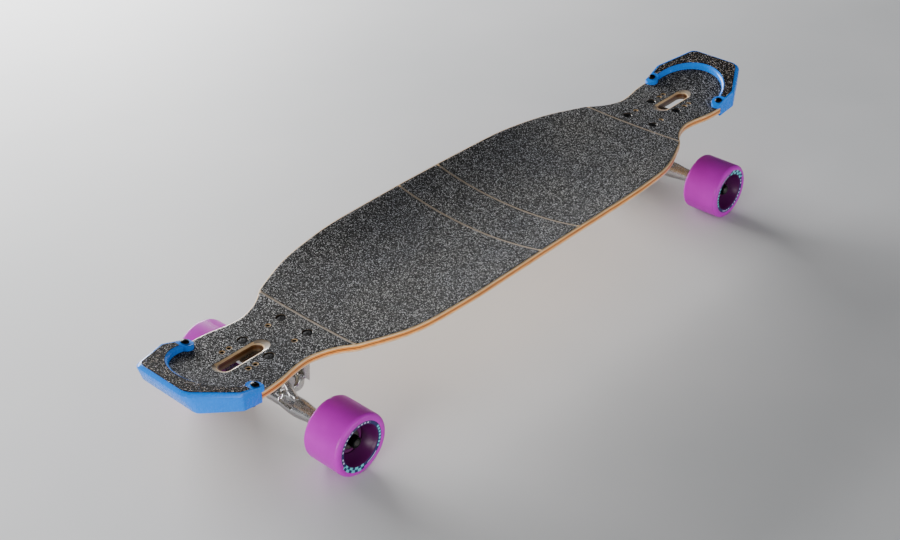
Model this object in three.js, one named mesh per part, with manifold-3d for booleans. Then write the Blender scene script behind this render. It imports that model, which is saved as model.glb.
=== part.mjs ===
// A top-mount longboard skateboard with reverse-kingpin trucks.
// Millimetres, +Z up, +X to the front, +Y to the left. The origin is on the ground under the deck's middle.
import * as THREE from "three";
import { mergeVertices } from "three/addons/utils/BufferGeometryUtils.js";
import { ConvexGeometry } from "three/addons/geometries/ConvexGeometry.js";
import Module from "manifold-3d";

const wasm = await Module();
wasm.setup();

// ---- Driving dimensions ----

// Clearance between a piece and its neighbour
const GAP = 0.3;

// Wheels and axles
const WHEEL_RADIUS = 36.5;
const WHEEL_WIDTH = 50;
const WHEEL_CENTRE_Y = 103.2;
const WHEEL_SIDES = 24;
const WHEEL_EDGE = 4.5;
const RECESS_RADIUS = 25;
const CORE_RADIUS = 16;
const CORE_WIDTH = 24;
const CORE_OFFSET = -2.5;
const BEARING_RADIUS = 11;
const BEARING_WIDTH = 7;
const AXLE_X = 342.4;
const AXLE_RADIUS = 4;
const AXLE_HALF = 122;
const HANGER_HALF = 87.3;
const AXLE_WASHER = 1.5;
const AXLE_NUT_HALF = 3.7;

// Deck: its top face carries the grip, and its height is given at the grip's face
const GRIP_DEPTH = 1;
const DECK_DEPTH = 9.5;
const TRUCK_TOP = 111.7;
const SEAM_INNER = 34.75;
const SEAM_OUTER = 294;
const SEAM_WIDTH = 3.5;
const CONCAVE_POWER = 2.1;
const HALF_WIDTHS = [
  [0, 113.5], [100, 113.2], [150, 112.3], [190, 108.7], [220, 104.4], [245, 97.5], [276, 84.7],
  [292, 77.2], [305, 67.2], [320, 59], [338, 53.8], [352, 53.8], [366, 56], [380, 58.8],
  [392, 60.2], [411, 61],
];
const EDGE_HEIGHTS = [
  [0, 120.7], [80, 120.1], [160, 118.7], [220, 115.4], [260, 114.2], [285, 113.7], [310, 112.7],
  [330, 112], [345, TRUCK_TOP], [404, TRUCK_TOP],
];
const CENTRE_HEIGHTS = [
  [0, 106.7], [35, 106.9], [160, 107.6], [230, 109.2], [286, 111.2], [300, TRUCK_TOP],
  [404, TRUCK_TOP],
];

// Nose and tail: the deck bends up at each end
const BEND_START = 404;
const BEND_END = 421.4;
const NOSE_SLOPE = 0.3057;
const NOSE_TIP = 476.5;

// Bumper: a horseshoe cap over each end of the deck, with walls round the deck's edge
const BUMPER_BACK = 411;
const BUMPER_OUTLINE = [[BUMPER_BACK, 61], [437, 64], [488, 38.5]];
const BUMPER_CORNER_CUT = 8;
const BUMPER_TOP = 119;
const BUMPER_TOP_SLOPE = 0.3218;
const BUMPER_LEAN = 9.5;
const BUMPER_CHAMFER = 3.2;
const CHAMFER_SHARES = [0.28, 0.63, 1.41];
const BUMPER_CHAMFER_DROP = 4.5;
const BUMPER_BASE = 98.8;
const BUMPER_BASE_RISE = 0.84;
const ARC_CENTRE_X = 415;
const ARC_RADIUS = 49;
const SCREW = [413.7, 54.5];
const LOBE_RADIUS = 9;
const INLAY_DEPTH = 0.8;
const INLAY_MARGIN = 0.9;
const INLAY_SHARES = [0.73, 1.02, 1.47];

// Where the bumper's form starts before its openings are cut
const HULL_BACK = BUMPER_BACK - 20;

// Half width of the deck inside the bumper's walls
const NOSE_WIDTHS = [[BUMPER_BACK, 57.7], [436, 58.6], [468, 42.2], [NOSE_TIP, 31]];

// Hole pattern of each truck and the slot between its holes
const BOLT_X = [311.2, 365.2];
const SPARE_X = [329.8, 383.8, 393.3];
const BOLT_Y = 20.64;
const SLOT_X = [357, 415];
const SLOT_WIDTH = 16;

// Bolts through the deck and baseplate, and screws through the bumper and deck
const BOLT_SHANK = 2.4;
const BOLT_HEAD = 5;
const BOLT_HEAD_DEPTH = 3.2;
const BOLT_SINK = 0.7;
const BOLT_NUT_FLATS = 9;
const SCREW_TILT = Math.atan(BUMPER_TOP_SLOPE);
const SCREW_SHANK = 2.2;
const SCREW_HEAD = 4.8;
const SCREW_NUT_FLATS = 8;
const SCREW_NUT_TOP = -19.2;
const SCREW_NUT_DEPTH = 3.4;

// Truck: the hanger steers about an axis that rises outboard at this angle
const STEER_ANGLE = THREE.MathUtils.degToRad(50);
const AXLE_BEHIND_RING = 27;
const AXLE_BELOW_RING = 21;
const RING_RADIUS = 15;
const RING_HALF = 4.5;
const BUSHING_RADIUS = 12.2;
const BUSHING_HEIGHT = 13;
const KINGPIN_RADIUS = 4.75;
const SEAT = 19.8;
const SEAT_BOSS = 10;
const NUB_RADIUS = 5.5;
const NUB_END = 44.5;
const CUP_RADIUS = 7.8;
const BLOCK_RADIUS = 10.4;
const BLOCK_MOUTH = 34.6;
const BLOCK_END = 50;
const PLATE_DEPTH = 6;
const PLATE_HALF_WIDTH = 28;

// ---- Materials ----

const material = (color, roughness, metalness = 0) =>
  new THREE.MeshStandardMaterial({ color, roughness, metalness });
const WOOD = () => material("#c98f52", 0.5);
const GRIP = () => material("#2b2b2d", 0.95);
const BLUE = () => material("#0a7fe0", 0.25);
const PURPLE = () => material("#b04bc0", 0.4);
const MAGENTA = () => material("#6d1570", 0.45);
const SILVER = () => material("#c9c9cc", 0.2, 1);
const STEEL = () => material("#8f9094", 0.3, 1);
const BLACK = () => material("#151515", 0.35, 0.6);
const BUSHING = () => material("#e8e4dc", 0.6);

// ---- Solids ----

// Turns a closed three.js geometry into a solid that can be joined and cut.
function toSolid(geometry) {
  const bare = geometry.index ? geometry.toNonIndexed() : geometry.clone();
  bare.deleteAttribute("normal");
  bare.deleteAttribute("uv");
  const merged = mergeVertices(bare, 1e-4);
  const vertProperties = merged.attributes.position.array;
  const triVerts = new Uint32Array(merged.index.array);
  return new wasm.Manifold(new wasm.Mesh({ numProp: 3, vertProperties, triVerts }));
}

function toGeometry(solid) {
  const { vertProperties, triVerts } = solid.getMesh();
  const shared = new THREE.BufferGeometry();
  shared.setAttribute("position", new THREE.BufferAttribute(vertProperties, 3));
  shared.setIndex(new THREE.BufferAttribute(triVerts, 1));
  const geometry = shared.toNonIndexed();
  geometry.computeVertexNormals();
  return geometry;
}

function join(first, ...others) {
  return others.reduce((whole, geometry) => whole.add(toSolid(geometry)), toSolid(first));
}

function cut(solid, ...tools) {
  return tools.reduce((whole, geometry) => whole.subtract(toSolid(geometry)), solid);
}

// Revolves [radius, height] points about the Y axis. A profile that starts off the axis closes on itself.
function revolve(profile, sides, turn = 0) {
  const points = profile.map(([radius, height]) => new THREE.Vector2(radius, height));
  if (profile[0][0] > 0) points.push(points[0].clone());
  return new THREE.LatheGeometry(points, sides, turn);
}

// A washer-shaped solid about the Y axis
function ring(inner, outer, low, high, sides) {
  return revolve([[inner, low], [outer, low], [outer, high], [inner, high]], sides);
}

// A round bar about the Z axis, between two heights
function bar(radius, low, high, sides = 12) {
  const geometry = new THREE.CylinderGeometry(radius, radius, high - low, sides);
  return geometry.rotateX(Math.PI / 2).translate(0, 0, (low + high) / 2);
}

// A hexagonal bar about the Z axis, by its width across the flats
function hex(acrossFlats, low, high) {
  return bar(acrossFlats / Math.sqrt(3), low, high, 6);
}

// Extrudes [x, y] points between two heights.
function prism(points, low, high) {
  const shape = points instanceof THREE.Shape ? points : outline(points);
  const options = { depth: high - low, bevelEnabled: false, curveSegments: 5 };
  return new THREE.ExtrudeGeometry(shape, options).translate(0, 0, low);
}

function outline(points) {
  return new THREE.Shape(points.map(([x, y]) => new THREE.Vector2(x, y)));
}

// Extrudes [x, z] points along Y, evenly about the middle plane.
function slab(points, width) {
  const geometry = prism(points, -width / 2, width / 2);
  return geometry.rotateX(Math.PI / 2);
}

// Turns a geometry made about the Y axis so that it lies along Z or X.
const alongZ = (geometry) => geometry.rotateX(Math.PI / 2);
const alongX = (geometry) => geometry.rotateZ(-Math.PI / 2);

// A smooth function through [x, value] points, even about x = 0
function through(points) {
  const slope = (i) => {
    if (i === 0 || i === points.length - 1) return 0;
    const [before, after] = [points[i - 1], points[i + 1]];
    return (after[1] - before[1]) / (after[0] - before[0]);
  };
  return (x) => {
    const distance = Math.min(Math.abs(x), points.at(-1)[0]);
    const i = Math.max(1, points.findIndex(([end]) => end >= distance));
    const [[x0, y0], [x1, y1]] = [points[i - 1], points[i]];
    const span = x1 - x0;
    const t = (distance - x0) / span;
    const rise = y1 - y0;
    const [a, b] = [slope(i - 1) * span, slope(i) * span];
    return y0 + a * t + (3 * rise - 2 * a - b) * t ** 2 + (a + b - 2 * rise) * t ** 3;
  };
}

// ---- Deck and grip ----

const sideWidth = through(HALF_WIDTHS);
const edgeHeight = through(EDGE_HEIGHTS);
const centreHeight = through(CENTRE_HEIGHTS);

// How far the nose has bent up at this distance from the middle
function kick(x) {
  const past = Math.abs(x) - BEND_START;
  const bend = BEND_END - BEND_START;
  if (past <= 0) return 0;
  return past < bend ? (NOSE_SLOPE * past ** 2) / (2 * bend) : NOSE_SLOPE * (past - bend / 2);
}

// Height of the grip's face at x, where across is 0 on the centre line and 1 at the edge
function gripHeight(x, across) {
  const centre = centreHeight(x);
  const rise = (edgeHeight(x) - centre) * Math.abs(across) ** CONCAVE_POWER;
  return centre + rise + kick(x);
}

// A function of straight stretches through [x, value] points
function straight(points) {
  return (x) => {
    const i = Math.max(1, points.findIndex(([end]) => end >= x));
    const [[x0, y0], [x1, y1]] = [points[i - 1], points[i]];
    return THREE.MathUtils.mapLinear(x, x0, x1, y0, y1);
  };
}

const noseWidth = straight(NOSE_WIDTHS);

function halfWidth(x) {
  return Math.abs(x) < BUMPER_BACK ? sideWidth(x) : noseWidth(Math.abs(x));
}

// A sheet that follows the deck, between two depths below the grip's face, at the given stations along X
function follow(stations, width, top, bottom, columns) {
  const rows = stations.length - 1;
  const position = [];
  for (const depth of [top, bottom]) {
    for (const x of stations) {
      for (let j = 0; j <= columns; j++) {
        const across = (2 * j) / columns - 1;
        position.push(x, across * width(x), gripHeight(x, across) - depth);
      }
    }
  }
  const faces = [];
  const quad = (a, b, c, d) => faces.push(a, b, d, b, c, d);
  const at = (layer, i, j) => (layer * (rows + 1) + i) * (columns + 1) + j;
  for (let i = 0; i < rows; i++) {
    for (let j = 0; j < columns; j++) {
      quad(at(0, i, j), at(0, i + 1, j), at(0, i + 1, j + 1), at(0, i, j + 1));
      faces.push(at(1, i, j), at(1, i, j + 1), at(1, i + 1, j));
      faces.push(at(1, i + 1, j), at(1, i, j + 1), at(1, i + 1, j + 1));
    }
    quad(at(1, i, 0), at(1, i + 1, 0), at(0, i + 1, 0), at(0, i, 0));
    quad(at(1, i + 1, columns), at(1, i, columns), at(0, i, columns), at(0, i + 1, columns));
  }
  for (let j = 0; j < columns; j++) {
    quad(at(1, 0, j + 1), at(1, 0, j), at(0, 0, j), at(0, 0, j + 1));
    quad(at(1, rows, j), at(1, rows, j + 1), at(0, rows, j + 1), at(0, rows, j));
  }
  const geometry = new THREE.BufferGeometry();
  geometry.setAttribute("position", new THREE.Float32BufferAttribute(position, 3));
  return geometry.setIndex(faces);
}

const DECK_COLUMNS = 6;
const CENTRE_STATIONS = [0, SEAM_INNER - SEAM_WIDTH / 2];
const SIDE_STATIONS = [
  SEAM_INNER + SEAM_WIDTH / 2, 100, 160, 195, 225, 250, 275, SEAM_OUTER - SEAM_WIDTH / 2,
];
const END_STATIONS = [
  SEAM_OUTER + SEAM_WIDTH / 2, 306, 320, 333, 350, 368, 386, BEND_START,
];
const NOSE_STATIONS = [BUMPER_BACK - GAP, BUMPER_BACK, BEND_END, 436, 468, NOSE_TIP];

function deckSolid() {
  const half = [...CENTRE_STATIONS, ...SIDE_STATIONS, ...END_STATIONS, ...NOSE_STATIONS];
  const stations = [...half.slice(1).reverse().map((x) => -x), ...half];
  const sheet = follow(stations, halfWidth, GRIP_DEPTH, GRIP_DEPTH + DECK_DEPTH, DECK_COLUMNS);
  return cut(toSolid(sheet), ...endHoles(1), ...endHoles(-1));
}

// A sheet of grip between two distances from the middle, cut back a little from the deck's edge
function gripSheet(stations) {
  const width = (x) => halfWidth(x) - GAP;
  return follow(stations, width, 0, GRIP_DEPTH - GAP, DECK_COLUMNS);
}

function gripEnd() {
  const sheet = toSolid(gripSheet([...END_STATIONS, ...NOSE_STATIONS.slice(0, -1)]));
  return cut(sheet, ...endHoles(1)).subtract(horseshoe(GAP));
}

// The slot, bolt holes and bumper screw holes at one end, as tools to cut with
function endHoles(side) {
  const [low, high] = [TRUCK_TOP - 30, TRUCK_TOP + 30];
  const hole = (x, y, radius) => bar(radius, low, high, 6).translate(x, y, 0);
  const holes = [-1, 1].flatMap((turn) => [
    ...BOLT_X.flatMap((x) => [
      hole(side * x, turn * BOLT_Y, BOLT_SHANK + 0.4),
      countersink(side * x, turn * BOLT_Y),
    ]),
    ...SPARE_X.map((x) => hole(side * x, turn * BOLT_Y, BOLT_SHANK)),
    screwHole(turn).rotateZ(side > 0 ? 0 : Math.PI),
  ]);
  const slot = new THREE.Shape();
  const radius = SLOT_WIDTH / 2;
  slot.absarc(SLOT_X[0] + radius, 0, radius, Math.PI / 2, (3 * Math.PI) / 2);
  slot.absarc(SLOT_X[1] - radius, 0, radius, -Math.PI / 2, Math.PI / 2);
  return [...holes, prism(slot, low, high).rotateZ(side > 0 ? 0 : Math.PI)];
}

// ---- Fasteners ----

function countersink(x, y) {
  const mouth = BOLT_HEAD + 1;
  const floor = BOLT_SHANK + 0.4;
  const depth = BOLT_HEAD_DEPTH + BOLT_SINK + GAP;
  const cone = revolve([[0, -depth], [floor, -depth], [mouth, -BOLT_SINK], [mouth, 3], [0, 3]], 10);
  return alongZ(cone).translate(x, y, TRUCK_TOP);
}

// Flat-head bolt through the deck and the baseplate, with its nut
function mountingBolt() {
  const plateBottom = WHEEL_RADIUS + PLATE_TOP - PLATE_DEPTH - TRUCK_TOP;
  const nutTop = plateBottom - GAP;
  const head = revolve([
    [0, -BOLT_SINK - BOLT_HEAD_DEPTH], [BOLT_SHANK, -BOLT_SINK - BOLT_HEAD_DEPTH],
    [BOLT_HEAD, -BOLT_SINK - 0.6], [BOLT_HEAD, -BOLT_SINK], [0, -BOLT_SINK],
  ], 10);
  const shank = bar(BOLT_SHANK, nutTop - 8, -BOLT_SINK - 1, 6);
  return join(alongZ(head), shank, hex(BOLT_NUT_FLATS, nutTop - 6, nutTop));
}

// Places a geometry made about Z on the screw's axis, which stands square to the bumper's top.
function onScrew(geometry, turn) {
  return geometry.rotateY(-SCREW_TILT).translate(SCREW[0], turn * SCREW[1], BUMPER_TOP);
}

function screwHole(turn) {
  return onScrew(bar(SCREW_SHANK + 2 * GAP, -30, 10, 6), turn);
}

// Button-head screw through the bumper and the deck, with its nut
function bumperScrew() {
  const head = revolve([
    [0, GAP], [SCREW_HEAD, GAP], [SCREW_HEAD - 0.4, 1.8], [SCREW_HEAD - 2.2, 2.8], [0, 3],
  ], 10);
  const shank = bar(SCREW_SHANK, SCREW_NUT_TOP - SCREW_NUT_DEPTH - 0.6, 1, 6);
  return join(alongZ(head), shank, hex(SCREW_NUT_FLATS, SCREW_NUT_TOP - SCREW_NUT_DEPTH, SCREW_NUT_TOP));
}

// ---- Bumper ----

const bumperTop = (x) => BUMPER_TOP + BUMPER_TOP_SLOPE * (x - SCREW[0]);

// The bumper's outer corners for y > 0, set in by a margin, with its front corner cut twice.
// The margin fades towards the back by the shares given, and a lean sets only the front back.
function outerCorners(margin, shares, lean = 0) {
  const [back, widest, corner] = BUMPER_OUTLINE.map(
    ([x, y], i) => new THREE.Vector2(x, y - margin * shares[i]),
  );
  const front = corner.x - margin - lean;
  const side = corner.clone().sub(widest).normalize();
  const tip = corner.clone().addScaledVector(side, -margin - lean / side.x);
  const before = tip.clone().addScaledVector(side, -BUMPER_CORNER_CUT);
  const middle = before.clone().lerp(new THREE.Vector2(front, tip.y - BUMPER_CORNER_CUT), 0.5);
  const bulge = middle.clone().lerp(new THREE.Vector2(front, tip.y), 0.35);
  return [back, widest, before, bulge, new THREE.Vector2(front, tip.y - BUMPER_CORNER_CUT)];
}

// The bumper's outer form without its openings: walls, upright but for the leaning front, then a
// chamfer up to the sloping top
function bumperHull() {
  const points = [];
  const level = (margin, height, lean = 0) => {
    const corners = outerCorners(margin, CHAMFER_SHARES, lean);
    const back = new THREE.Vector2(HULL_BACK, corners[0].y);
    for (const { x, y } of [back, ...corners]) {
      points.push(new THREE.Vector3(x, y, height(x)), new THREE.Vector3(x, -y, height(x)));
    }
  };
  level(0, (x) => BUMPER_BASE + BUMPER_BASE_RISE * kick(x), BUMPER_LEAN);
  level(0, (x) => bumperTop(x) - BUMPER_CHAMFER_DROP);
  level(BUMPER_CHAMFER, bumperTop);
  return toSolid(new ConvexGeometry(points));
}

// Tools that shape the horseshoe seen from above, over the bumper's full height
const [LOW, HIGH] = [TRUCK_TOP - 40, TRUCK_TOP + 60];
const arcTool = (radius) => bar(radius, LOW, HIGH, 24).translate(ARC_CENTRE_X, 0, 0);
const lobeTool = (radius, turn) =>
  bar(radius, LOW, HIGH, 14).translate(SCREW[0], turn * SCREW[1], 0);

function boxTool(x0, x1, halfY) {
  return prism([[x0, -halfY], [x1, -halfY], [x1, halfY], [x0, halfY]], LOW, HIGH);
}

// The horseshoe seen from above, grown by a margin: the arc is open to the middle of the board,
// and a lobe surrounds each screw.
function horseshoe(margin) {
  const inner = ARC_RADIUS - margin;
  const open = cut(
    toSolid(boxTool(SCREW[0], 520, 90)), arcTool(inner), boxTool(SCREW[0] - 1, ARC_CENTRE_X, inner),
  );
  const lobes = [-1, 1].map((turn) => toSolid(lobeTool(LOBE_RADIUS + margin, turn)));
  return lobes.reduce((solid, lobe) => solid.add(lobe), open);
}

// The space that the deck's nose takes, open downwards, with a clearance all round
function noseSpace() {
  const stations = [HULL_BACK, ...NOSE_STATIONS.slice(1)];
  stations[stations.length - 1] += GAP;
  const width = (x) => noseWidth(THREE.MathUtils.clamp(x, BUMPER_BACK, NOSE_TIP)) + GAP;
  return follow(stations, width, GRIP_DEPTH - GAP, 60, DECK_COLUMNS);
}

// A layer parallel to the bumper's top
function topLayer(bottom, top) {
  const [x0, x1] = [300, 600];
  return slab([
    [x0, bumperTop(x0) + bottom], [x1, bumperTop(x1) + bottom],
    [x1, bumperTop(x1) + top], [x0, bumperTop(x0) + top],
  ], 200);
}

// The recess on the bumper's top, or with a margin the grip that lies in it, up to the arc
function inlaySolid(margin, arcRadius, bottom, top) {
  const rim = outerCorners(BUMPER_CHAMFER + INLAY_MARGIN + margin, INLAY_SHARES);
  const corners = rim.map(({ x, y }) => [x, y]);
  const mirrored = corners.map(([x, y]) => [x, -y]).reverse();
  const plan = cut(
    toSolid(prism([...corners, ...mirrored], LOW, HIGH)),
    arcTool(arcRadius),
    boxTool(HULL_BACK, SCREW[0] + LOBE_RADIUS + margin, 90),
    lobeTool(LOBE_RADIUS + margin, 1),
    lobeTool(LOBE_RADIUS + margin, -1),
  );
  return plan.intersect(toSolid(topLayer(bottom, top)));
}

// Behind its walls, only the lobes of the bumper's top reach over the deck's full width.
function bumper() {
  const hull = bumperHull();
  const walled = toSolid(boxTool(BUMPER_BACK + GAP, 520, 90));
  const overDeck = follow(
    [HULL_BACK, BEND_START, BUMPER_BACK], () => 70, GRIP_DEPTH - GAP, 60, DECK_COLUMNS,
  );
  const form = hull.subtract(walled).subtract(toSolid(overDeck)).add(hull.intersect(walled));
  const body = horseshoe(0).intersect(form).subtract(toSolid(noseSpace()));
  return cut(body, screwHole(1), screwHole(-1)).subtract(inlaySolid(0, ARC_RADIUS - 1, -INLAY_DEPTH, 3));
}

// ---- Truck, in a frame whose origin is the middle of the axle ----

// Height of the baseplate's top over the axle
const PLATE_TOP = TRUCK_TOP - GRIP_DEPTH - DECK_DEPTH - GAP - WHEEL_RADIUS;

// Steering frame: its origin is the ring's centre, X runs up the steering axis away from the pivot,
// and Z runs up the kingpin towards the deck.
const RING_CENTRE = new THREE.Vector3(
  AXLE_BEHIND_RING * Math.cos(STEER_ANGLE) - AXLE_BELOW_RING * Math.sin(STEER_ANGLE),
  0,
  AXLE_BEHIND_RING * Math.sin(STEER_ANGLE) + AXLE_BELOW_RING * Math.cos(STEER_ANGLE),
);
const STEERING = new THREE.Matrix4()
  .makeRotationY(-STEER_ANGLE)
  .setPosition(RING_CENTRE);
const steered = (geometry) => geometry.applyMatrix4(STEERING);

// The truck-frame [x, z] of a point in the steering frame's middle plane
function inTruck(x, z) {
  const point = new THREE.Vector3(x, 0, z).applyMatrix4(STEERING);
  return [point.x, point.z];
}

function baseplate() {
  const bottom = PLATE_TOP - PLATE_DEPTH;
  const [plateBack, plateFront] = [-41, 40];
  const plate = prism([
    [plateBack, -PLATE_HALF_WIDTH + 6], [plateBack + 6, -PLATE_HALF_WIDTH],
    [plateFront - 6, -PLATE_HALF_WIDTH], [plateFront, -PLATE_HALF_WIDTH + 6],
    [plateFront, PLATE_HALF_WIDTH - 6], [plateFront - 6, PLATE_HALF_WIDTH],
    [plateBack + 6, PLATE_HALF_WIDTH], [plateBack, PLATE_HALF_WIDTH - 6],
  ], bottom, PLATE_TOP);
  const [seatX, seatZ] = inTruck(0, SEAT);
  const seatTop = seatX + (bottom + 1 - seatZ) / Math.tan(STEER_ANGLE);
  const wedge = slab([
    [plateBack + 1, bottom + 1], inTruck(-BLOCK_END + 4, BLOCK_RADIUS - 1),
    inTruck(-BLOCK_MOUTH - 1, BLOCK_RADIUS - 1), inTruck(-BLOCK_MOUTH + 14, SEAT),
    [seatTop, bottom + 1],
  ], 28);
  const block = steered(alongX(revolve([
    [0, -BLOCK_END], [BLOCK_RADIUS - 5, -BLOCK_END], [BLOCK_RADIUS, -BLOCK_END + 5],
    [BLOCK_RADIUS, -BLOCK_MOUTH], [0, -BLOCK_MOUTH],
  ], 12)));
  const headFloor = SEAT + SEAT_BOSS;
  const pocket = slab([
    inTruck(-9.5, headFloor), inTruck(9.5, headFloor),
    [inTruck(9.5, headFloor)[0], PLATE_TOP + 2], [-34, PLATE_TOP + 2],
    [-34, inTruck(-9.5, headFloor + 7)[1]],
  ], 19);
  const holes = [-31.2, 22.8, 32.3].flatMap((x) =>
    [-1, 1].map((turn) => bar(BOLT_SHANK + 0.4, 0, 80, 6).translate(x, turn * BOLT_Y, 0)),
  );
  return cut(
    join(plate, wedge, block),
    steered(alongX(ring(0, CUP_RADIUS + GAP, -BLOCK_END + 3, 0, 10))),
    steered(bar(KINGPIN_RADIUS + GAP, 0, 40, 10)),
    steered(bar(RING_RADIUS, 0, SEAT, 14)),
    pocket,
    ...holes,
  );
}

function pivotCup() {
  return alongX(revolve([
    [0, -BLOCK_END + 3 + GAP], [CUP_RADIUS, -BLOCK_END + 3 + GAP], [CUP_RADIUS, -BLOCK_MOUTH - GAP],
    [NUB_RADIUS + GAP, -BLOCK_MOUTH - GAP], [NUB_RADIUS + GAP, -NUB_END - GAP], [0, -NUB_END - GAP],
  ], 10));
}

function hanger() {
  const arms = revolve([
    [0, -HANGER_HALF], [7.5, -HANGER_HALF], [7.6, -72], [9.4, -50], [11, -35], [9, -13],
    [9, 13], [11, 35], [9.4, 50], [7.6, 72], [7.5, HANGER_HALF], [0, HANGER_HALF],
  ], 12);
  const eye = steered(bar(RING_RADIUS, -RING_HALF, RING_HALF, 14));
  const neck = steered(alongX(revolve([
    [0, -NUB_END], [NUB_RADIUS - 2.5, -NUB_END], [NUB_RADIUS, -NUB_END + 2.5],
    [NUB_RADIUS, -BLOCK_MOUTH + 1], [8, -BLOCK_MOUTH + 4], [8, -9], [0, -9],
  ], 10)));
  const [webBack, webFront] = [-AXLE_BEHIND_RING - 7, -AXLE_BEHIND_RING + 8];
  const web = steered(slab([
    [webBack, 1], [webBack, -AXLE_BELOW_RING], [webFront, -AXLE_BELOW_RING], [webFront + 4, 1],
  ], 16));
  const gussets = [-1, 1].map((turn) => steered(new ConvexGeometry([
    [-3, 12, -4.4], [-3, 12, 0], [-14, 8, -4.4], [-14, 8, 0],
    [-21, 34, -15], [-32, 34, -15], [-21, 34, -24], [-32, 34, -24],
  ].map(([x, y, z]) => new THREE.Vector3(x, turn * y, z)))));
  const body = join(arms, eye, neck, web, ...gussets);
  const bore = ring(0, AXLE_RADIUS + GAP, -HANGER_HALF - 1, HANGER_HALF + 1, 10);
  return cut(
    body,
    steered(bar(7.2, -20, 20)),
    steered(bar(BUSHING_RADIUS + 1.3, -30, -RING_HALF)),
    steered(bar(BUSHING_RADIUS + 1.3, RING_HALF, 30)),
    bore,
  );
}

// Kingpin with its head in the baseplate and its nut under the road-side washer
function kingpin() {
  const nutTop = -SEAT - GAP;
  return join(
    bar(KINGPIN_RADIUS, nutTop - 12, SEAT + SEAT_BOSS + 1, 10),
    hex(14, SEAT + SEAT_BOSS + GAP, SEAT + SEAT_BOSS + 5),
    hex(14, nutTop - 9, nutTop),
  );
}

// A urethane bushing between the ring and its cup washer, narrower at the washer
function bushing() {
  const low = RING_HALF + GAP;
  const high = low + BUSHING_HEIGHT;
  const bore = KINGPIN_RADIUS + GAP;
  return revolve([
    [bore, low], [BUSHING_RADIUS, low], [BUSHING_RADIUS, low + 4], [BUSHING_RADIUS - 1.4, high],
    [bore, high],
  ], 14);
}

// A cupped washer outside the bushing
function cupWasher() {
  const low = RING_HALF + 2 * GAP + BUSHING_HEIGHT;
  const radius = BUSHING_RADIUS + 0.3;
  return ring(KINGPIN_RADIUS + GAP, radius, low, SEAT - GAP, 14);
}

// ---- Wheel, about the Y axis with its outer face at +Y ----

// Flats instead of corners touch the ground, at the true radius.
const WHEEL_TURN = Math.PI / WHEEL_SIDES;
const outside = (radius, sides) => radius / Math.cos(Math.PI / sides);

function tyre() {
  const half = WHEEL_WIDTH / 2;
  const bore = outside(CORE_RADIUS + GAP, WHEEL_SIDES);
  const [coreLow, coreHigh] = [CORE_OFFSET - CORE_WIDTH / 2, CORE_OFFSET + CORE_WIDTH / 2];
  const tread = outside(WHEEL_RADIUS, WHEEL_SIDES);
  const shoulder = tread - WHEEL_EDGE;
  const profile = [
    [bore, coreLow], [RECESS_RADIUS, -half + 0.5], [shoulder, -half], [tread, -half + WHEEL_EDGE],
    [tread, half - WHEEL_EDGE], [shoulder, half], [RECESS_RADIUS, half - 0.5], [bore, coreHigh],
  ];
  return revolve(profile, WHEEL_SIDES, WHEEL_TURN);
}

function core() {
  const half = CORE_WIDTH / 2;
  const seat = BEARING_RADIUS + GAP / 2;
  const shoulder = half - BEARING_WIDTH;
  return revolve([
    [seat, -half], [CORE_RADIUS, -half], [CORE_RADIUS, half], [seat, half],
    [seat, shoulder], [9, shoulder], [9, -shoulder], [seat, -shoulder],
  ], 14);
}

function bearing() {
  const half = (BEARING_WIDTH - GAP) / 2;
  return ring(AXLE_RADIUS + GAP, BEARING_RADIUS - GAP, -half, half, 12);
}

function axleNut() {
  const bore = toSolid(bar(AXLE_RADIUS + GAP, -10, 10, 10));
  return toSolid(hex(13, -AXLE_NUT_HALF, AXLE_NUT_HALF)).subtract(bore);
}

// ---- Assembly ----

const board = new THREE.Group();

// Adds a named piece to a group, at a place in it.
function add(group, name, shape, finish, place = [0, 0, 0]) {
  const geometry = shape.isBufferGeometry ? shape : toGeometry(shape);
  const mesh = new THREE.Mesh(geometry, finish());
  mesh.name = name;
  mesh.position.set(...place);
  group.add(mesh);
  return mesh;
}

function addWheel(truck, name, turn) {
  const wheel = new THREE.Group();
  wheel.position.set(0, turn * WHEEL_CENTRE_Y, 0);
  wheel.rotation.x = turn > 0 ? 0 : Math.PI;
  truck.add(wheel);
  const bearingY = (CORE_WIDTH - BEARING_WIDTH) / 2;
  add(wheel, `${name}_tyre`, tyre(), PURPLE);
  add(wheel, `${name}_core`, core(), MAGENTA, [0, CORE_OFFSET, 0]);
  add(wheel, `${name}_inner_bearing`, bearing(), STEEL, [0, CORE_OFFSET - bearingY, 0]);
  add(wheel, `${name}_outer_bearing`, bearing(), STEEL, [0, CORE_OFFSET + bearingY, 0]);
  const nutY = CORE_OFFSET + CORE_WIDTH / 2 + AXLE_WASHER + AXLE_NUT_HALF;
  const nut = add(wheel, `${name}_axle_nut`, axleNut(), BLACK, [0, nutY, 0]);
  nut.rotation.x = -Math.PI / 2;
}

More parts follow.
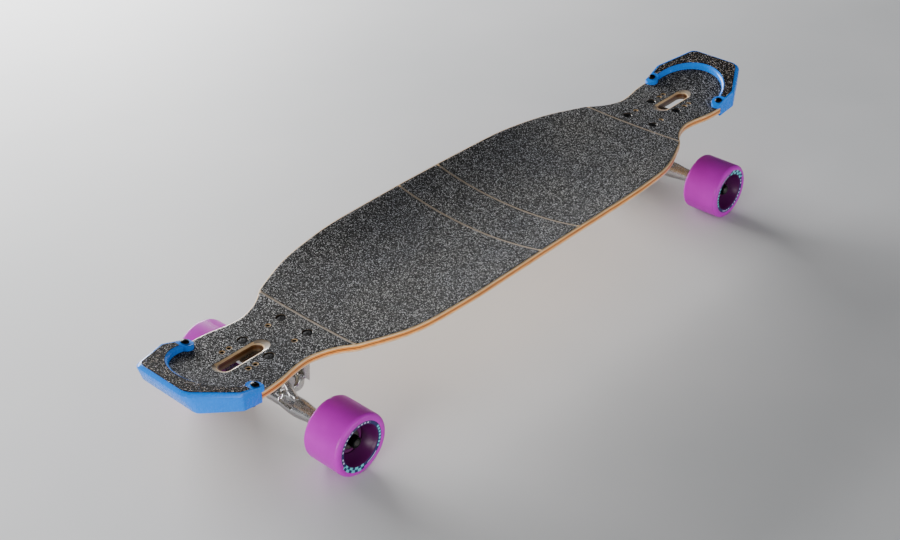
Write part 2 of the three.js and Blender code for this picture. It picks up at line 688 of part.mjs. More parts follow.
function addTruck(end, endName, sideNames) {
  const truck = new THREE.Group();
  truck.position.set(AXLE_X, 0, WHEEL_RADIUS);
  end.add(truck);
  add(truck, `${endName}_baseplate`, baseplate(), SILVER);
  add(truck, `${endName}_hanger`, hanger(), SILVER);
  const axle = ring(0, AXLE_RADIUS, -AXLE_HALF, AXLE_HALF, 10);
  add(truck, `${endName}_axle`, axle, STEEL);

  const steering = new THREE.Group();
  steering.applyMatrix4(STEERING);
  truck.add(steering);
  add(steering, `${endName}_pivot_cup`, pivotCup(), BUSHING);
  add(steering, `${endName}_kingpin`, kingpin(), STEEL);
  [["boardside", Math.PI / 2], ["roadside", -Math.PI / 2]].forEach(([place, turn]) => {
    add(steering, `${endName}_${place}_bushing`, bushing(), BUSHING).rotation.x = turn;
    add(steering, `${endName}_${place}_washer`, cupWasher(), STEEL).rotation.x = turn;
  });
  sideNames.forEach((side, i) => addWheel(truck, `${endName}_${side}`, i ? -1 : 1));
}

// One end of the board. The rear end is the front one turned half round, so its sides change places.
function addEnd(endName, turn, sideNames) {
  const end = new THREE.Group();
  end.rotation.z = turn;
  board.add(end);
  add(end, `${endName}_end_grip`, gripEnd(), GRIP);
  add(end, `${endName}_platform_grip`, toSolid(gripSheet(SIDE_STATIONS)), GRIP);
  add(end, `${endName}_bumper`, bumper(), BLUE);
  const bumperGrip = inlaySolid(GAP, ARC_RADIUS + GAP, GAP - INLAY_DEPTH, GAP);
  add(end, `${endName}_bumper_grip`, bumperGrip, GRIP);
  sideNames.forEach((side, i) => {
    const sign = i ? -1 : 1;
    const screwPlace = [SCREW[0], sign * SCREW[1], BUMPER_TOP];
    const screw = add(end, `${endName}_${side}_bumper_screw`, bumperScrew(), BLACK, screwPlace);
    screw.rotation.y = -SCREW_TILT;
    BOLT_X.forEach((x, row) => {
      const place = row ? "outer" : "inner";
      add(end, `${endName}_${side}_${place}_bolt`, mountingBolt(), BLACK, [x, sign * BOLT_Y, TRUCK_TOP]);
    });
  });
  addTruck(end, endName, sideNames);
}

add(board, "deck", deckSolid(), WOOD);
const centreStations = [-CENTRE_STATIONS[1], ...CENTRE_STATIONS];
add(board, "centre_grip", toSolid(gripSheet(centreStations)), GRIP);
addEnd("front", 0, ["left", "right"]);
addEnd("rear", Math.PI, ["right", "left"]);

export default board;
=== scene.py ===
# A top-mount longboard skateboard with reverse-kingpin trucks.
# The frame is in metres, +Z up, +X to the front. Shapes below are written in millimetres.
import math

import bmesh
import bpy
import numpy as np
from mathutils import Matrix, Vector


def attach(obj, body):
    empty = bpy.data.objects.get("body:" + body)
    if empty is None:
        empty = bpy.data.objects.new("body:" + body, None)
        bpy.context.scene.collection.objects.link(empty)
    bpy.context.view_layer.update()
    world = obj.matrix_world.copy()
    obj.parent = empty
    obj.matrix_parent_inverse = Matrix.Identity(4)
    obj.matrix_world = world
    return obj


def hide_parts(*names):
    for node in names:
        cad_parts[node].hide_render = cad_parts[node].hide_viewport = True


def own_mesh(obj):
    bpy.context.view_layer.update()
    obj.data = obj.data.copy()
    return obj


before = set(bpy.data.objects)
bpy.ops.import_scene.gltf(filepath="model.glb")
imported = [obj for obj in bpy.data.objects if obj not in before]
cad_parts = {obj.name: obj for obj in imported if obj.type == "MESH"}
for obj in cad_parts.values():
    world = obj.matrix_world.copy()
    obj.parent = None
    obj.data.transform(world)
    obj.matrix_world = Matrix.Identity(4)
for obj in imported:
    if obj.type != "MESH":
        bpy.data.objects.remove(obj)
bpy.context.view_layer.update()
scene = bpy.context.scene
MM = 0.001

# ---- Camera ----

CAMERA_PLACE = Vector((-1.11617, -0.96247, 0.99876))
CAMERA_YAW = 0.8292
CAMERA_PITCH = 0.5827
CAMERA_ROLL = -0.0117
CAMERA_LENS = 57.6


def make_camera():
    flat = math.cos(CAMERA_PITCH)
    ahead = Vector((
        math.sin(CAMERA_YAW) * flat, math.cos(CAMERA_YAW) * flat, -math.sin(CAMERA_PITCH),
    ))
    level = Vector((math.cos(CAMERA_YAW), -math.sin(CAMERA_YAW), 0))
    upward = level.cross(ahead)
    turn = Matrix.Rotation(CAMERA_ROLL, 3, -ahead)
    right, up = turn @ level, turn @ upward
    data = bpy.data.cameras.new("camera")
    data.lens = CAMERA_LENS
    data.sensor_width = 36
    data.clip_start = 0.01
    camera = bpy.data.objects.new("camera", data)
    matrix = Matrix((right, up, -ahead)).transposed().to_4x4()
    matrix.translation = CAMERA_PLACE
    camera.matrix_world = matrix
    scene.collection.objects.link(camera)
    scene.camera = camera


make_camera()

# ---- Materials ----


class Shader:
    """A principled material and the nodes that feed it."""

    def __init__(self, name, **settings):
        self.material = bpy.data.materials.new(name)
        self.material.use_nodes = True
        self.tree = self.material.node_tree
        self.surface = self.tree.nodes["Principled BSDF"]
        for socket, value in settings.items():
            self.surface.inputs[socket.replace("_", " ")].default_value = value
        self.place = self.node("ShaderNodeTexCoord").outputs["Object"]

    def node(self, kind, **settings):
        node = self.tree.nodes.new(kind)
        for key, value in settings.items():
            setattr(node, key, value)
        return node

    def put(self, socket, value):
        if isinstance(value, bpy.types.NodeSocket):
            self.tree.links.new(value, socket)
        else:
            socket.default_value = value

    def feed(self, socket, value):
        self.put(self.surface.inputs[socket], value)

    def math(self, operation, a, b=0.0):
        node = self.node("ShaderNodeMath", operation=operation)
        self.put(node.inputs[0], a)
        self.put(node.inputs[1], b)
        return node.outputs[0]

    def scaled(self, x, y, z):
        node = self.node("ShaderNodeMapping")
        self.put(node.inputs["Vector"], self.place)
        node.inputs["Scale"].default_value = (x, y, z)
        return node.outputs[0]

    def noise(self, scale, detail=3.0, roughness=0.55, place=None):
        node = self.node("ShaderNodeTexNoise")
        self.put(node.inputs["Vector"], place or self.place)
        node.inputs["Scale"].default_value = scale
        node.inputs["Detail"].default_value = detail
        node.inputs["Roughness"].default_value = roughness
        return node.outputs["Fac"]

    def cells(self, scale):
        """(distance to the cell's middle, a random value for the cell)"""
        node = self.node("ShaderNodeTexVoronoi")
        self.put(node.inputs["Vector"], self.place)
        node.inputs["Scale"].default_value = scale
        parts = self.node("ShaderNodeSeparateColor")
        self.put(parts.inputs[0], node.outputs["Color"])
        return node.outputs["Distance"], parts.outputs[0]

    def ramp(self, value, stops, interpolation="LINEAR"):
        """stops are (position, grey or (r, g, b))."""
        node = self.node("ShaderNodeValToRGB")
        node.color_ramp.interpolation = interpolation
        self.put(node.inputs[0], value)
        elements = node.color_ramp.elements
        while len(elements) < len(stops):
            elements.new(0.5)
        for element, (position, colour) in zip(elements, stops):
            element.position = position
            rgb = colour if isinstance(colour, tuple) else (colour,) * 3
            element.color = (*rgb, 1)
        return node.outputs["Color"]

    def mix(self, factor, a, b, blend="MIX"):
        node = self.node("ShaderNodeMix", data_type="RGBA", blend_type=blend)
        self.put(node.inputs["Factor"], factor)
        for socket, value in ((node.inputs[6], a), (node.inputs[7], b)):
            self.put(socket, (*value, 1) if isinstance(value, tuple) else value)
        return node.outputs[2]

    def bump(self, height, distance, strength=1.0):
        node = self.node("ShaderNodeBump")
        node.inputs["Strength"].default_value = strength
        node.inputs["Distance"].default_value = distance
        self.put(node.inputs["Height"], height)
        self.feed("Normal", node.outputs[0])

    def attribute(self, name):
        return self.node("ShaderNodeAttribute", attribute_name=name).outputs["Fac"]

    def axes(self):
        node = self.node("ShaderNodeSeparateXYZ")
        self.put(node.inputs[0], self.place)
        return node.outputs

    def between(self, value, low, high):
        """1 where the value lies between the limits, else 0"""
        above = self.math("GREATER_THAN", value, low)
        return self.math("MULTIPLY", above, self.math("LESS_THAN", value, high))


def grip_material():
    """Black grit: coarse and fine grains, a few of which catch the light."""
    s = Shader("grip_sheet", Metallic=0.0, Specular_IOR_Level=0.15)
    edge, grain = s.cells(1300)
    _, fine = s.cells(2600)
    tone = s.noise(9, 4)
    coarse = s.ramp(grain, [
        (0, 0.002), (0.5, 0.004), (0.72, 0.02), (0.86, 0.17), (0.93, 0.65), (1, 1.0),
    ])
    dust = s.ramp(fine, [(0, 0.003), (0.65, 0.016), (1, 0.25)])
    colour = s.mix(0.2, coarse, dust)
    tint = s.ramp(tone, [(0.35, (0.86, 0.87, 0.93)), (0.65, (1.0, 0.98, 0.95))])
    s.feed("Base Color", s.mix(1.0, colour, tint, "MULTIPLY"))
    s.feed("Roughness", s.ramp(grain, [(0, 0.9), (0.85, 0.75), (1, 0.35)]))
    s.bump(s.math("MULTIPLY", edge, grain), 0.0006, 0.55)
    return s.material


def inlay_material():
    """The same grit on the bumper, browner and with a few coloured grains."""
    s = Shader("bumper_grit", Metallic=0.0, Specular_IOR_Level=0.05)
    edge, grain = s.cells(1150)
    _, hue = s.cells(1000)
    grey = s.ramp(grain, [(0, 0.002), (0.6, 0.005), (0.82, 0.04), (0.93, 0.25), (1, 0.9)])
    warm = s.ramp(hue, [
        (0, (0.5, 0.55, 1)), (0.3, (1, 0.95, 0.9)), (0.75, (1, 0.85, 0.6)), (1, (1, 0.5, 0.4)),
    ])
    s.feed("Base Color", s.mix(0.8, grey, warm, "MULTIPLY"))
    s.feed("Roughness", s.ramp(grain, [(0, 0.9), (1, 0.5)]))
    s.bump(s.math("MULTIPLY", edge, grain), 0.0006, 0.6)
    return s.material


def wood_material():
    """Laminated maple: plies by depth below the grip, grain along the board, and painted shade inside
    the drilled holes and on the slot's walls.
    """
    s = Shader("laminated_maple", Coat_Weight=0.5, Coat_Roughness=0.15, Specular_IOR_Level=0.4)
    depth = s.attribute("depth")
    grain = s.noise(60, 6, 0.65, s.scaled(0.5, 7, 7))
    fibre = s.noise(240, 3, 0.6, s.scaled(0.25, 6, 6))
    wander = s.math("MULTIPLY", s.math("SUBTRACT", grain, 0.5), 0.03)
    dull = (0.38, 0.31, 0.235)
    cream = (0.92, 0.64, 0.35)
    orange = (0.84, 0.3, 0.04)
    brown = (0.16, 0.045, 0.01)
    plies = s.ramp(s.math("ADD", depth, wander), [
        (0.0, dull), (0.025, dull), (0.04, cream), (0.14, cream), (0.16, orange), (0.33, orange),
        (0.35, brown), (0.43, brown), (0.45, orange), (0.63, orange), (0.66, cream), (1.0, cream),
    ])
    streaks = s.ramp(grain, [(0.3, (0.72, 0.66, 0.6)), (0.6, (1.0, 1.0, 1.0))])
    pores = s.ramp(fibre, [(0.35, (0.8, 0.76, 0.72)), (0.5, (1.0, 1.0, 1.0))])
    grained = s.mix(1.0, s.mix(1.0, plies, streaks, "MULTIPLY"), pores, "MULTIPLY")
    # Painted shade: the attribute read here darkens the wood to near black inside the holes and on the
    # slot's walls.
    s.feed("Base Color", s.mix(s.attribute("painted_hole_shade"), grained, (0.012, 0.007, 0.004)))
    s.feed("Roughness", s.ramp(grain, [(0.3, 0.55), (0.7, 0.38)]))
    s.bump(fibre, 0.00012, 0.5)
    return s.material


def plastic_material(name, dark, light, roughness, scale=30, **settings):
    """Moulded plastic or urethane: slow colour drift, fine skin and faint scuffs."""
    s = Shader(name, **settings)
    drift = s.noise(scale, 3)
    skin = s.noise(1600, 2)
    scuff = s.noise(220, 6, 0.7, s.scaled(1, 3, 1))
    s.feed("Base Color", s.ramp(drift, [(0.3, dark), (0.7, light)]))
    s.feed("Roughness", s.ramp(scuff, [(0.35, roughness), (0.75, min(1, roughness + 0.16))]))
    s.bump(s.math("ADD", s.math("MULTIPLY", skin, 0.4), scuff), 0.00006, 0.5)
    return s.material


def metal_material(name, dark, light, roughness):
    """Polished or plated metal: cloudy tone, fine marks and a slight unevenness."""
    s = Shader(name, Metallic=1.0)
    cloud = s.noise(70, 5, 0.6)
    marks = s.noise(900, 5, 0.75)
    s.feed("Base Color", s.ramp(cloud, [(0.3, dark), (0.7, light)]))
    s.feed("Roughness", s.ramp(marks, [(0.3, roughness), (0.75, roughness + 0.14)]))
    s.bump(s.math("ADD", marks, s.math("MULTIPLY", cloud, 2.0)), 0.00005, 0.5)
    return s.material


RING_LOW = 24.9
RING_HIGH = 28.8
CHECK_RISE = 1.9
CHECK_PART = (0.74, 0.93)
BAR_PART = (0.425, 0.59)
BAR_REACH = (25.7, 28.2)
ARC_PART = (0.62, 0.71)
ARC_REACH = (27.3, 28.1)
CHECKS, BARS, DASHES = 19.0, 40.0, 36.0


def tyre_material():
    """Satin urethane with a printed band of plain marks and blocks round the lip of each face, and
    painted shade in the recess inside the band.
    """
    s = Shader("purple_urethane", Specular_IOR_Level=0.26, Subsurface_Weight=0.08)
    s.surface.inputs["Subsurface Radius"].default_value = (0.004, 0.002, 0.004)
    x, y, z = s.axes()
    reach = s.math("SQRT", s.math("ADD", s.math("POWER", x, 2.0), s.math("POWER", z, 2.0)))
    turn = s.math("DIVIDE", s.math("ARCTAN2", z, x), 2 * math.pi)

    def steps(count):
        return s.math("FRACT", s.math("MULTIPLY", part, count))

    def both(a, b):
        return s.math("MULTIPLY", a, b)

    def reaches(low, high):
        return s.between(reach, low * MM, high * MM)

    face = s.math("GREATER_THAN", s.math("ABSOLUTE", y), 22.5 * MM)
    part = s.math("FRACT", s.math("ADD", turn, 1.0))
    check_part = s.between(part, *CHECK_PART)
    rim = s.math("ADD", RING_HIGH * MM, both(check_part, CHECK_RISE * MM))
    band = both(face, s.between(reach, RING_LOW * MM, rim))

    gaps = s.math("GREATER_THAN", steps(5.0), 0.14)
    dashes = both(s.between(steps(DASHES), 0.2, 0.72), reaches(RING_LOW + 1.1, RING_HIGH - 1.2))
    past_checks = s.math("FRACT", s.math("ADD", part, 0.06))
    dashes = both(both(dashes, gaps), s.math("LESS_THAN", past_checks, 0.4))
    arc = both(s.between(part, *ARC_PART), reaches(*ARC_REACH))
    dashes = s.math("MAXIMUM", dashes, arc)

    outer = s.math("GREATER_THAN", reach, (RING_LOW + RING_HIGH + 1.6) / 2 * MM)
    check_step = s.math("FRACT", s.math("ADD", s.math("MULTIPLY", part, CHECKS), both(outer, 0.5)))
    checks = both(s.math("LESS_THAN", check_step, 0.52), check_part)
    bars = both(s.math("LESS_THAN", steps(BARS), 0.6), s.between(part, *BAR_PART))
    blocks = s.math("MAXIMUM", checks, both(bars, reaches(*BAR_REACH)))

    wear = s.noise(420, 5, 0.7)
    body = s.ramp(s.noise(26, 3), [(0.3, (0.44, 0.008, 0.44)), (0.7, (0.52, 0.014, 0.52))])
    # Painted shade: inside the print ring the recess is darkened to a deep plum.
    painted_recess_shade = s.math("LESS_THAN", reach, (RING_LOW + 0.1) * MM)
    body = s.mix(painted_recess_shade, body, (0.07, 0.0005, 0.065))
    navy = s.mix(wear, (0.008, 0.012, 0.085), (0.02, 0.024, 0.13))
    print_colour = s.mix(dashes, navy, (0.62, 0.58, 0.86))
    print_colour = s.mix(blocks, print_colour, (0.12, 0.6, 0.68))
    s.feed("Base Color", s.mix(band, body, print_colour))
    s.feed("Roughness", s.ramp(wear, [(0.3, 0.3), (0.7, 0.42)]))
    s.bump(s.noise(1500, 3), 0.00005, 0.5)
    return s.material


GRIP = grip_material()
INLAY = inlay_material()
WOOD = wood_material()
BLUE = plastic_material(
    "blue_plastic", (0.0, 0.19, 0.82), (0.0, 0.23, 0.92), 0.2,
    Coat_Weight=0.0, Specular_IOR_Level=0.3,
)
URETHANE = tyre_material()
CORE = plastic_material("magenta_plastic", (0.1, 0.001, 0.085), (0.14, 0.002, 0.115), 0.34, 60)
CREAM = plastic_material("cream_urethane", (0.72, 0.66, 0.5), (0.8, 0.74, 0.58), 0.35, 60)
SILVER = metal_material("polished_aluminium", (0.42, 0.42, 0.43), (0.6, 0.6, 0.6), 0.2)
STEEL = metal_material("zinc_steel", (0.5, 0.5, 0.5), (0.64, 0.63, 0.61), 0.24)
AXLE_STEEL = metal_material("axle_steel", (0.05, 0.048, 0.045), (0.1, 0.097, 0.09), 0.3)
BLACK = metal_material("black_steel", (0.006, 0.006, 0.007), (0.016, 0.016, 0.017), 0.3)
BEARING_STEEL = metal_material("bearing_steel", (0.1, 0.095, 0.09), (0.2, 0.19, 0.18), 0.28)

# ---- Mesh building ----


def raw(name, verts, faces):
    """An object made of these points in millimetres and faces."""
    mesh = bpy.data.meshes.new(name)
    mesh.from_pydata([tuple(float(c) * MM for c in v) for v in verts], [], faces)
    made = bpy.data.objects.new(name, mesh)
    scene.collection.objects.link(made)
    tidy = bmesh.new()
    tidy.from_mesh(mesh)
    bmesh.ops.recalc_face_normals(tidy, faces=tidy.faces)
    tidy.to_mesh(mesh)
    tidy.free()
    return made


def loft(name, rings):
    """Closed rings of equal length, joined in order and capped at both ends."""
    count = len(rings[0])
    verts = [point for ring_points in rings for point in ring_points]
    faces = []
    for i in range(len(rings) - 1):
        for j in range(count):
            k = (j + 1) % count
            faces.append((i * count + j, i * count + k, (i + 1) * count + k, (i + 1) * count + j))
    faces.append(tuple(range(count)))
    faces.append(tuple((len(rings) - 1) * count + j for j in reversed(range(count))))
    return raw(name, verts, faces)


def lathe(name, profile, sides=96, axis="Y"):
    """Revolves [radius, height] points. A profile that starts off the axis closes on itself."""
    closed = profile[0][0] > 0
    verts, rows, faces = [], [], []
    for radius, height in profile:
        if radius == 0:
            rows.append([len(verts)] * sides)
            verts.append((0, height, 0))
            continue
        rows.append([len(verts) + j for j in range(sides)])
        for j in range(sides):
            angle = 2 * math.pi * j / sides
            verts.append((radius * math.cos(angle), height, radius * math.sin(angle)))
    pairs = list(zip(rows, rows[1:] + rows[:1])) if closed else list(zip(rows, rows[1:]))
    for low, high in pairs:
        for j in range(sides):
            k = (j + 1) % sides
            corners = [low[j], low[k], high[k], high[j]]
            corners = [c for i, c in enumerate(corners) if c != corners[i - 1]]
            if len(corners) > 2:
                faces.append(tuple(corners))
    if axis == "X":
        verts = [(y, x, z) for x, y, z in verts]
    if axis == "Z":
        verts = [(x, z, y) for x, y, z in verts]
    return raw(name, verts, faces)


def prism(name, points, low, high):
    """[x, y] points extruded between two heights"""
    return loft(name, [[(x, y, z) for x, y in points] for z in (low, high)])


def rod(radius, low, high, axis="Z", sides=64):
    return lathe("rod", [(0, low), (radius, low), (radius, high), (0, high)], sides, axis)


def hexagon(flats):
    reach = flats / math.sqrt(3)
    return [(reach * math.cos(math.pi * k / 3), reach * math.sin(math.pi * k / 3)) for k in range(6)]


def bake(made):
    """Applies an object's modifiers to its mesh."""
    graph = bpy.context.evaluated_depsgraph_get()
    mesh = bpy.data.meshes.new_from_object(made.evaluated_get(graph))
    old = made.data
    made.modifiers.clear()
    made.data = mesh
    bpy.data.meshes.remove(old)
    return made


def discard(*objects):
    for used in objects:
        bpy.data.objects.remove(used)


def combine(made, tools, operation="DIFFERENCE"):
    """Cuts or joins tools with made, then discards them."""
    for tool in tools:
        modifier = made.modifiers.new("combine", "BOOLEAN")
        modifier.operation = operation
        modifier.solver = "EXACT"
        modifier.object = tool
    bake(made)
    discard(*tools)
    return made


def moved(made, matrix):
    """Moves an object's own points, which are in metres."""
    made.data.transform(matrix)
    return made


def shifted(made, x, y, z):
    return moved(made, Matrix.Translation(Vector((x, y, z)) * MM))


def bevel(made, width):
    modifier = made.modifiers.new("bevel", "BEVEL")
    modifier.width = width * MM
    modifier.segments = 3
    modifier.limit_method = "ANGLE"
    modifier.angle_limit = math.radians(30)
    return bake(made)


def shade(made, angle=35):
    """Smooth shading, broken at edges sharper than the angle"""
    for polygon in made.data.polygons:
        polygon.use_smooth = True
    made.data.set_sharp_from_angle(angle=math.radians(angle))
    return made


def cast(name, parts, tools, voxel, smooth):
    """Joins parts and cuts tools from them, as one casting with softened edges and corners."""
    whole = parts[0]
    whole.name = name
    combine(whole, parts[1:], "UNION")
    combine(whole, tools)
    remesh = whole.modifiers.new("remesh", "REMESH")
    remesh.mode = "VOXEL"
    remesh.voxel_size = voxel * MM
    soften = whole.modifiers.new("soften", "SMOOTH")
    soften.factor = 0.5
    soften.iterations = smooth
    return bake(whole)


def piece(made, name, body, material, slot, *nodes, angle=35):
    """Names and finishes an object, and lets it ride on a body in place of its CAD nodes."""
    made.name = name
    made.data.materials.clear()
    made.data.materials.append(material)
    shade(made, angle)
    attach(made, body)
    if nodes:
        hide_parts(*nodes)
    return made


# ---- Deck and grip ----

GAP = 0.3
GRIP_DEPTH = 0.6
SHEET_DEPTH = 0.45
SHEET_INSET = 2.2
DECK_DEPTH = 9.9
TRUCK_TOP = 111.7
DECK_UNDERSIDE = TRUCK_TOP - GRIP_DEPTH - DECK_DEPTH
EDGE_ROUND = 3.2
TOP_ROUND = 1.5
SEAM_INNER = 34.75
SEAM_OUTER = 294.0
SEAM_WIDTH = 3.5
CONCAVE_POWER = 2.1
HALF_WIDTHS = [
    (0, 113.5), (100, 113.2), (150, 112.3), (190, 108.7), (220, 104.4), (245, 97.5), (276, 84.7),
    (292, 77.2), (305, 67.2), (320, 59), (338, 53.8), (352, 53.8), (366, 56), (380, 58.8),
    (392, 60.2), (411, 61),
]
EDGE_HEIGHTS = [
    (0, 120.7), (80, 120.1), (160, 118.7), (220, 115.4), (260, 114.2), (285, 113.7), (310, 112.7),
    (330, 112), (345, TRUCK_TOP), (404, TRUCK_TOP),
]
CENTRE_HEIGHTS = [
    (0, 106.7), (35, 106.9), (160, 107.6), (230, 109.2), (286, 111.2), (300, TRUCK_TOP),
    (404, TRUCK_TOP),
]
BEND_START = 404.0
BEND_END = 421.4
NOSE_SLOPE = 0.3057
NOSE_TIP = 476.5
NOSE_WIDTHS = [(411, 57.7), (436, 58.6), (468, 42.2), (NOSE_TIP, 31)]
BUMPER_BACK = 411.0
BOLT_X = (311.2, 365.2)
SPARE_X = (329.8, 383.8, 393.3)
BOLT_Y = 20.64
SLOT_X = (357.0, 415.0)
SLOT_RADIUS = 8.0
SCOOP = 8.2
SCOOP_OUTER = 5.5
SCOOP_SIDE = 2.3
SINK_RADIUS = 6.0
SPARE_RADIUS = 2.35


def through(points):
    """A smooth function through (x, value) points, even about x = 0"""
    xs, values = (np.array(column, float) for column in zip(*points))
    slopes = np.zeros(len(xs))
    slopes[1:-1] = (values[2:] - values[:-2]) / (xs[2:] - xs[:-2])

    def at(x):
        far = min(abs(x), xs[-1])
        i = max(1, int(np.searchsorted(xs, far)))
        span = xs[i] - xs[i - 1]
        t = (far - xs[i - 1]) / span
        rise = values[i] - values[i - 1]
        a, b = slopes[i - 1] * span, slopes[i] * span
        return values[i - 1] + a * t + (3 * rise - 2 * a - b) * t**2 + (a + b - 2 * rise) * t**3

    return at


side_width = through(HALF_WIDTHS)
edge_height = through(EDGE_HEIGHTS)
centre_height = through(CENTRE_HEIGHTS)


def kick(x):
    past = abs(x) - BEND_START
    bend = BEND_END - BEND_START
    if past <= 0:
        return 0.0
    return NOSE_SLOPE * past**2 / (2 * bend) if past < bend else NOSE_SLOPE * (past - bend / 2)


def half_width(x):
    if abs(x) < BUMPER_BACK:
        return side_width(x)
    xs, widths = zip(*NOSE_WIDTHS)
    return float(np.interp(abs(x), xs, widths))


def surface(x, y):
    """Height of the grip's face"""
    across = min(1.0, abs(y) / half_width(x))
    centre = centre_height(x)
    return centre + (edge_height(x) - centre) * across**CONCAVE_POWER + kick(x)


COLUMNS = 40


def board_ring(x, inset, top, bottom, chamfer, round_over):
    """One cross-section of a sheet that follows the deck, between two depths"""
    width = half_width(x) - inset
    inner = width - chamfer
    half = [(inner * j / (COLUMNS // 2), top) for j in range(COLUMNS // 2 + 1)]
    for share in (0.35, 0.7, 1.0):
        angle = math.pi / 2 * share
        half.append((inner + chamfer * math.sin(angle), top + chamfer * (1 - math.cos(angle))))
    steps = 5 if round_over > 0.5 else 1
    for k in range(steps + 1):
        angle = math.pi / 2 * k / steps
        half.append((
            width - round_over * (1 - math.cos(angle)),
            bottom - round_over * (1 - math.sin(angle)),
        ))
    low = width - round_over
    for j in range(COLUMNS // 2 - 1, 0, -1):
        half.append((low * j / (COLUMNS // 2), bottom))
    right = [(x, y, surface(x, y) - depth) for y, depth in half]
    left = [(x, -y, surface(x, y) - depth) for y, depth in reversed(half[1:])]
    return right + [(x, 0, surface(x, 0) - bottom)] + left


def stations(low, high, step):
    count = max(1, round((high - low) / step))
    return [low + (high - low) * i / count for i in range(count + 1)]


def dressed(x, y, shape):
    """Moves a tool made about Z at the origin to a place on the deck's flat end"""
    return shifted(shape, x, y, TRUCK_TOP)


def stadium(x0, x1, radius, steps=16):
    points = []
    for centre, start in ((x1 - radius, -90), (x0 + radius, 90)):
        for k in range(steps + 1):
            angle = math.radians(start + 180 * k / steps)
            points.append((centre + radius * math.cos(angle), radius * math.sin(angle)))
    return points


def slot_tool(side, grow):
    """The slot with its scooped rim, or with grow the same hole in the grip"""
    levels = [
        (-40, 0), (-2.1, 0), (-1.75, 0.03), (-1.3, 0.35), (-0.9, 0.75), (-0.6, 1.0), (30, 1.0),
    ]
    rings = []
    for rise, share in levels:
        out = SCOOP_SIDE * share + grow
        reach = SCOOP * share + grow
        far_end = SLOT_X[1] + SCOOP_OUTER / SCOOP * reach
        points = stadium(SLOT_X[0] - reach, far_end, SLOT_RADIUS + out)
        rings.append([(side * px, side * py, TRUCK_TOP + rise + kick(px)) for px, py in points])
    return loft("slot", rings)


def hole_tools(side, bolt, spare, through_board):
    """Cutters for the bolt holes: countersunk right through the deck, or plain for the grip"""
    tools = []
    for turn in (-1, 1):
        for x in BOLT_X:
            profile = [
                (0, -30), (2.8, -30), (2.8, -4.5), (bolt - 0.35, -1.0), (bolt, -0.7), (bolt, 10),
                (0, 10),
            ]
            if not through_board:
                profile = [(0, -8), (bolt, -8), (bolt, 10), (0, 10)]
            tools.append(dressed(side * x, turn * BOLT_Y, lathe("hole", profile, 40, "Z")))
        for x in SPARE_X:
            profile = [(0, -30), (2.2, -30), (2.2, -1.2), (spare, -0.7), (spare, 10), (0, 10)]
            if not through_board:
                profile = [(0, -8), (spare, -8), (spare, 10), (0, 10)]
            tools.append(dressed(side * x, turn * BOLT_Y, lathe("hole", profile, 32, "Z")))
    return tools


def near_hole(x, y, places, radius):
    return any(math.hypot(abs(x) - place, abs(y) - BOLT_Y) < radius for place in places)


def past_slot(x, y):
    """Distance outwards from the slot's straight wall"""
    end_x = max(SLOT_X[0] + SLOT_RADIUS - abs(x), abs(x) - SLOT_X[1] + SLOT_RADIUS, 0)
    return math.hypot(end_x, y) - SLOT_RADIUS


FACE_PLY, TOP_PLY, SLOT_PLY = 0.0, 0.08, 0.1


def plain_depth(x, y, share):
    """Share of the deck's depth, set so that sanded rims show the top ply and scoops stay dull"""
    if past_slot(x, y) < SCOOP + 0.6 and share < 0.16:
        scooped = past_slot(x, y) > 0.6 and not SLOT_X[0] + 3 < abs(x) < SLOT_X[1] - 3
        return FACE_PLY if scooped else SLOT_PLY
    near_edge = abs(y) > half_width(x) - 4
    rimmed = near_edge or near_hole(x, y, BOLT_X + SPARE_X, 6.5)
    return max(share, TOP_PLY) if rimmed else share


def darkness(x, y, share):
    """How far a point of the deck takes painted shade, near black inside the holes and on the slot's
    walls
    """
    if near_hole(x, y, SPARE_X, 3.1) and share > 0.06:
        return 1.0
    if near_hole(x, y, BOLT_X, SINK_RADIUS + 0.1):
        return 0.88 if share < 0.012 else 1.0
    return 0.8 if past_slot(x, y) < 0.2 and share > 0.13 else 0.0


def make_deck():
    half = stations(0, 286, 5) + stations(288, BEND_START, 2.5)
    half += stations(406, BUMPER_BACK - 0.3, 1.6) + stations(BUMPER_BACK, NOSE_TIP, 5)
    xs = [-x for x in reversed(half[1:])] + half
    bottom = GRIP_DEPTH + DECK_DEPTH
    rings = [board_ring(x, 0, GRIP_DEPTH, bottom, TOP_ROUND, EDGE_ROUND) for x in xs]
    deck = loft("deck_board", rings)
    tools = []
    for side in (-1, 1):
        tools.append(slot_tool(side, 0))
        tools += hole_tools(side, SINK_RADIUS, SPARE_RADIUS, True)
        for turn in (-1, 1):
            tools.append(moved(rod(2.8, -40, 20, "Z", 24), end_turn(side) @ screw_matrix(turn)))
    combine(deck, tools)
    depth = deck.data.attributes.new("depth", "FLOAT", "POINT")
    # Painted shade inside the holes and on the slot's walls, stored per point
    painted_hole_shade = deck.data.attributes.new("painted_hole_shade", "FLOAT", "POINT")
    for vertex in deck.data.vertices:
        x, y, z = vertex.co / MM
        share = (surface(x, y) - z - GRIP_DEPTH) / DECK_DEPTH
        depth.data[vertex.index].value = plain_depth(x, y, share)
        painted_hole_shade.data[vertex.index].value = darkness(x, y, share)
    return piece(deck, "deck_board", "board", WOOD, "maple", "deck", angle=30)


def grip_panel(name, node, low, high, tools, step=4.0):
    xs = stations(low, high, step)
    panel = loft(name, [board_ring(x, SHEET_INSET, 0, SHEET_DEPTH, 0.25, 0.0) for x in xs])
    if tools:
        combine(panel, tools)
    return piece(panel, name, "board", GRIP, "grip", node, angle=50)


# ---- Placing ----

SCREW = (413.7, 54.5)
BUMPER_TOP = 119.0
BUMPER_TOP_SLOPE = 0.3218
SCREW_TILT = math.atan(BUMPER_TOP_SLOPE)


def end_turn(side):
    """The front end as it is, and the rear end turned half round"""
    return Matrix.Rotation(0 if side > 0 else math.pi, 4, "Z")


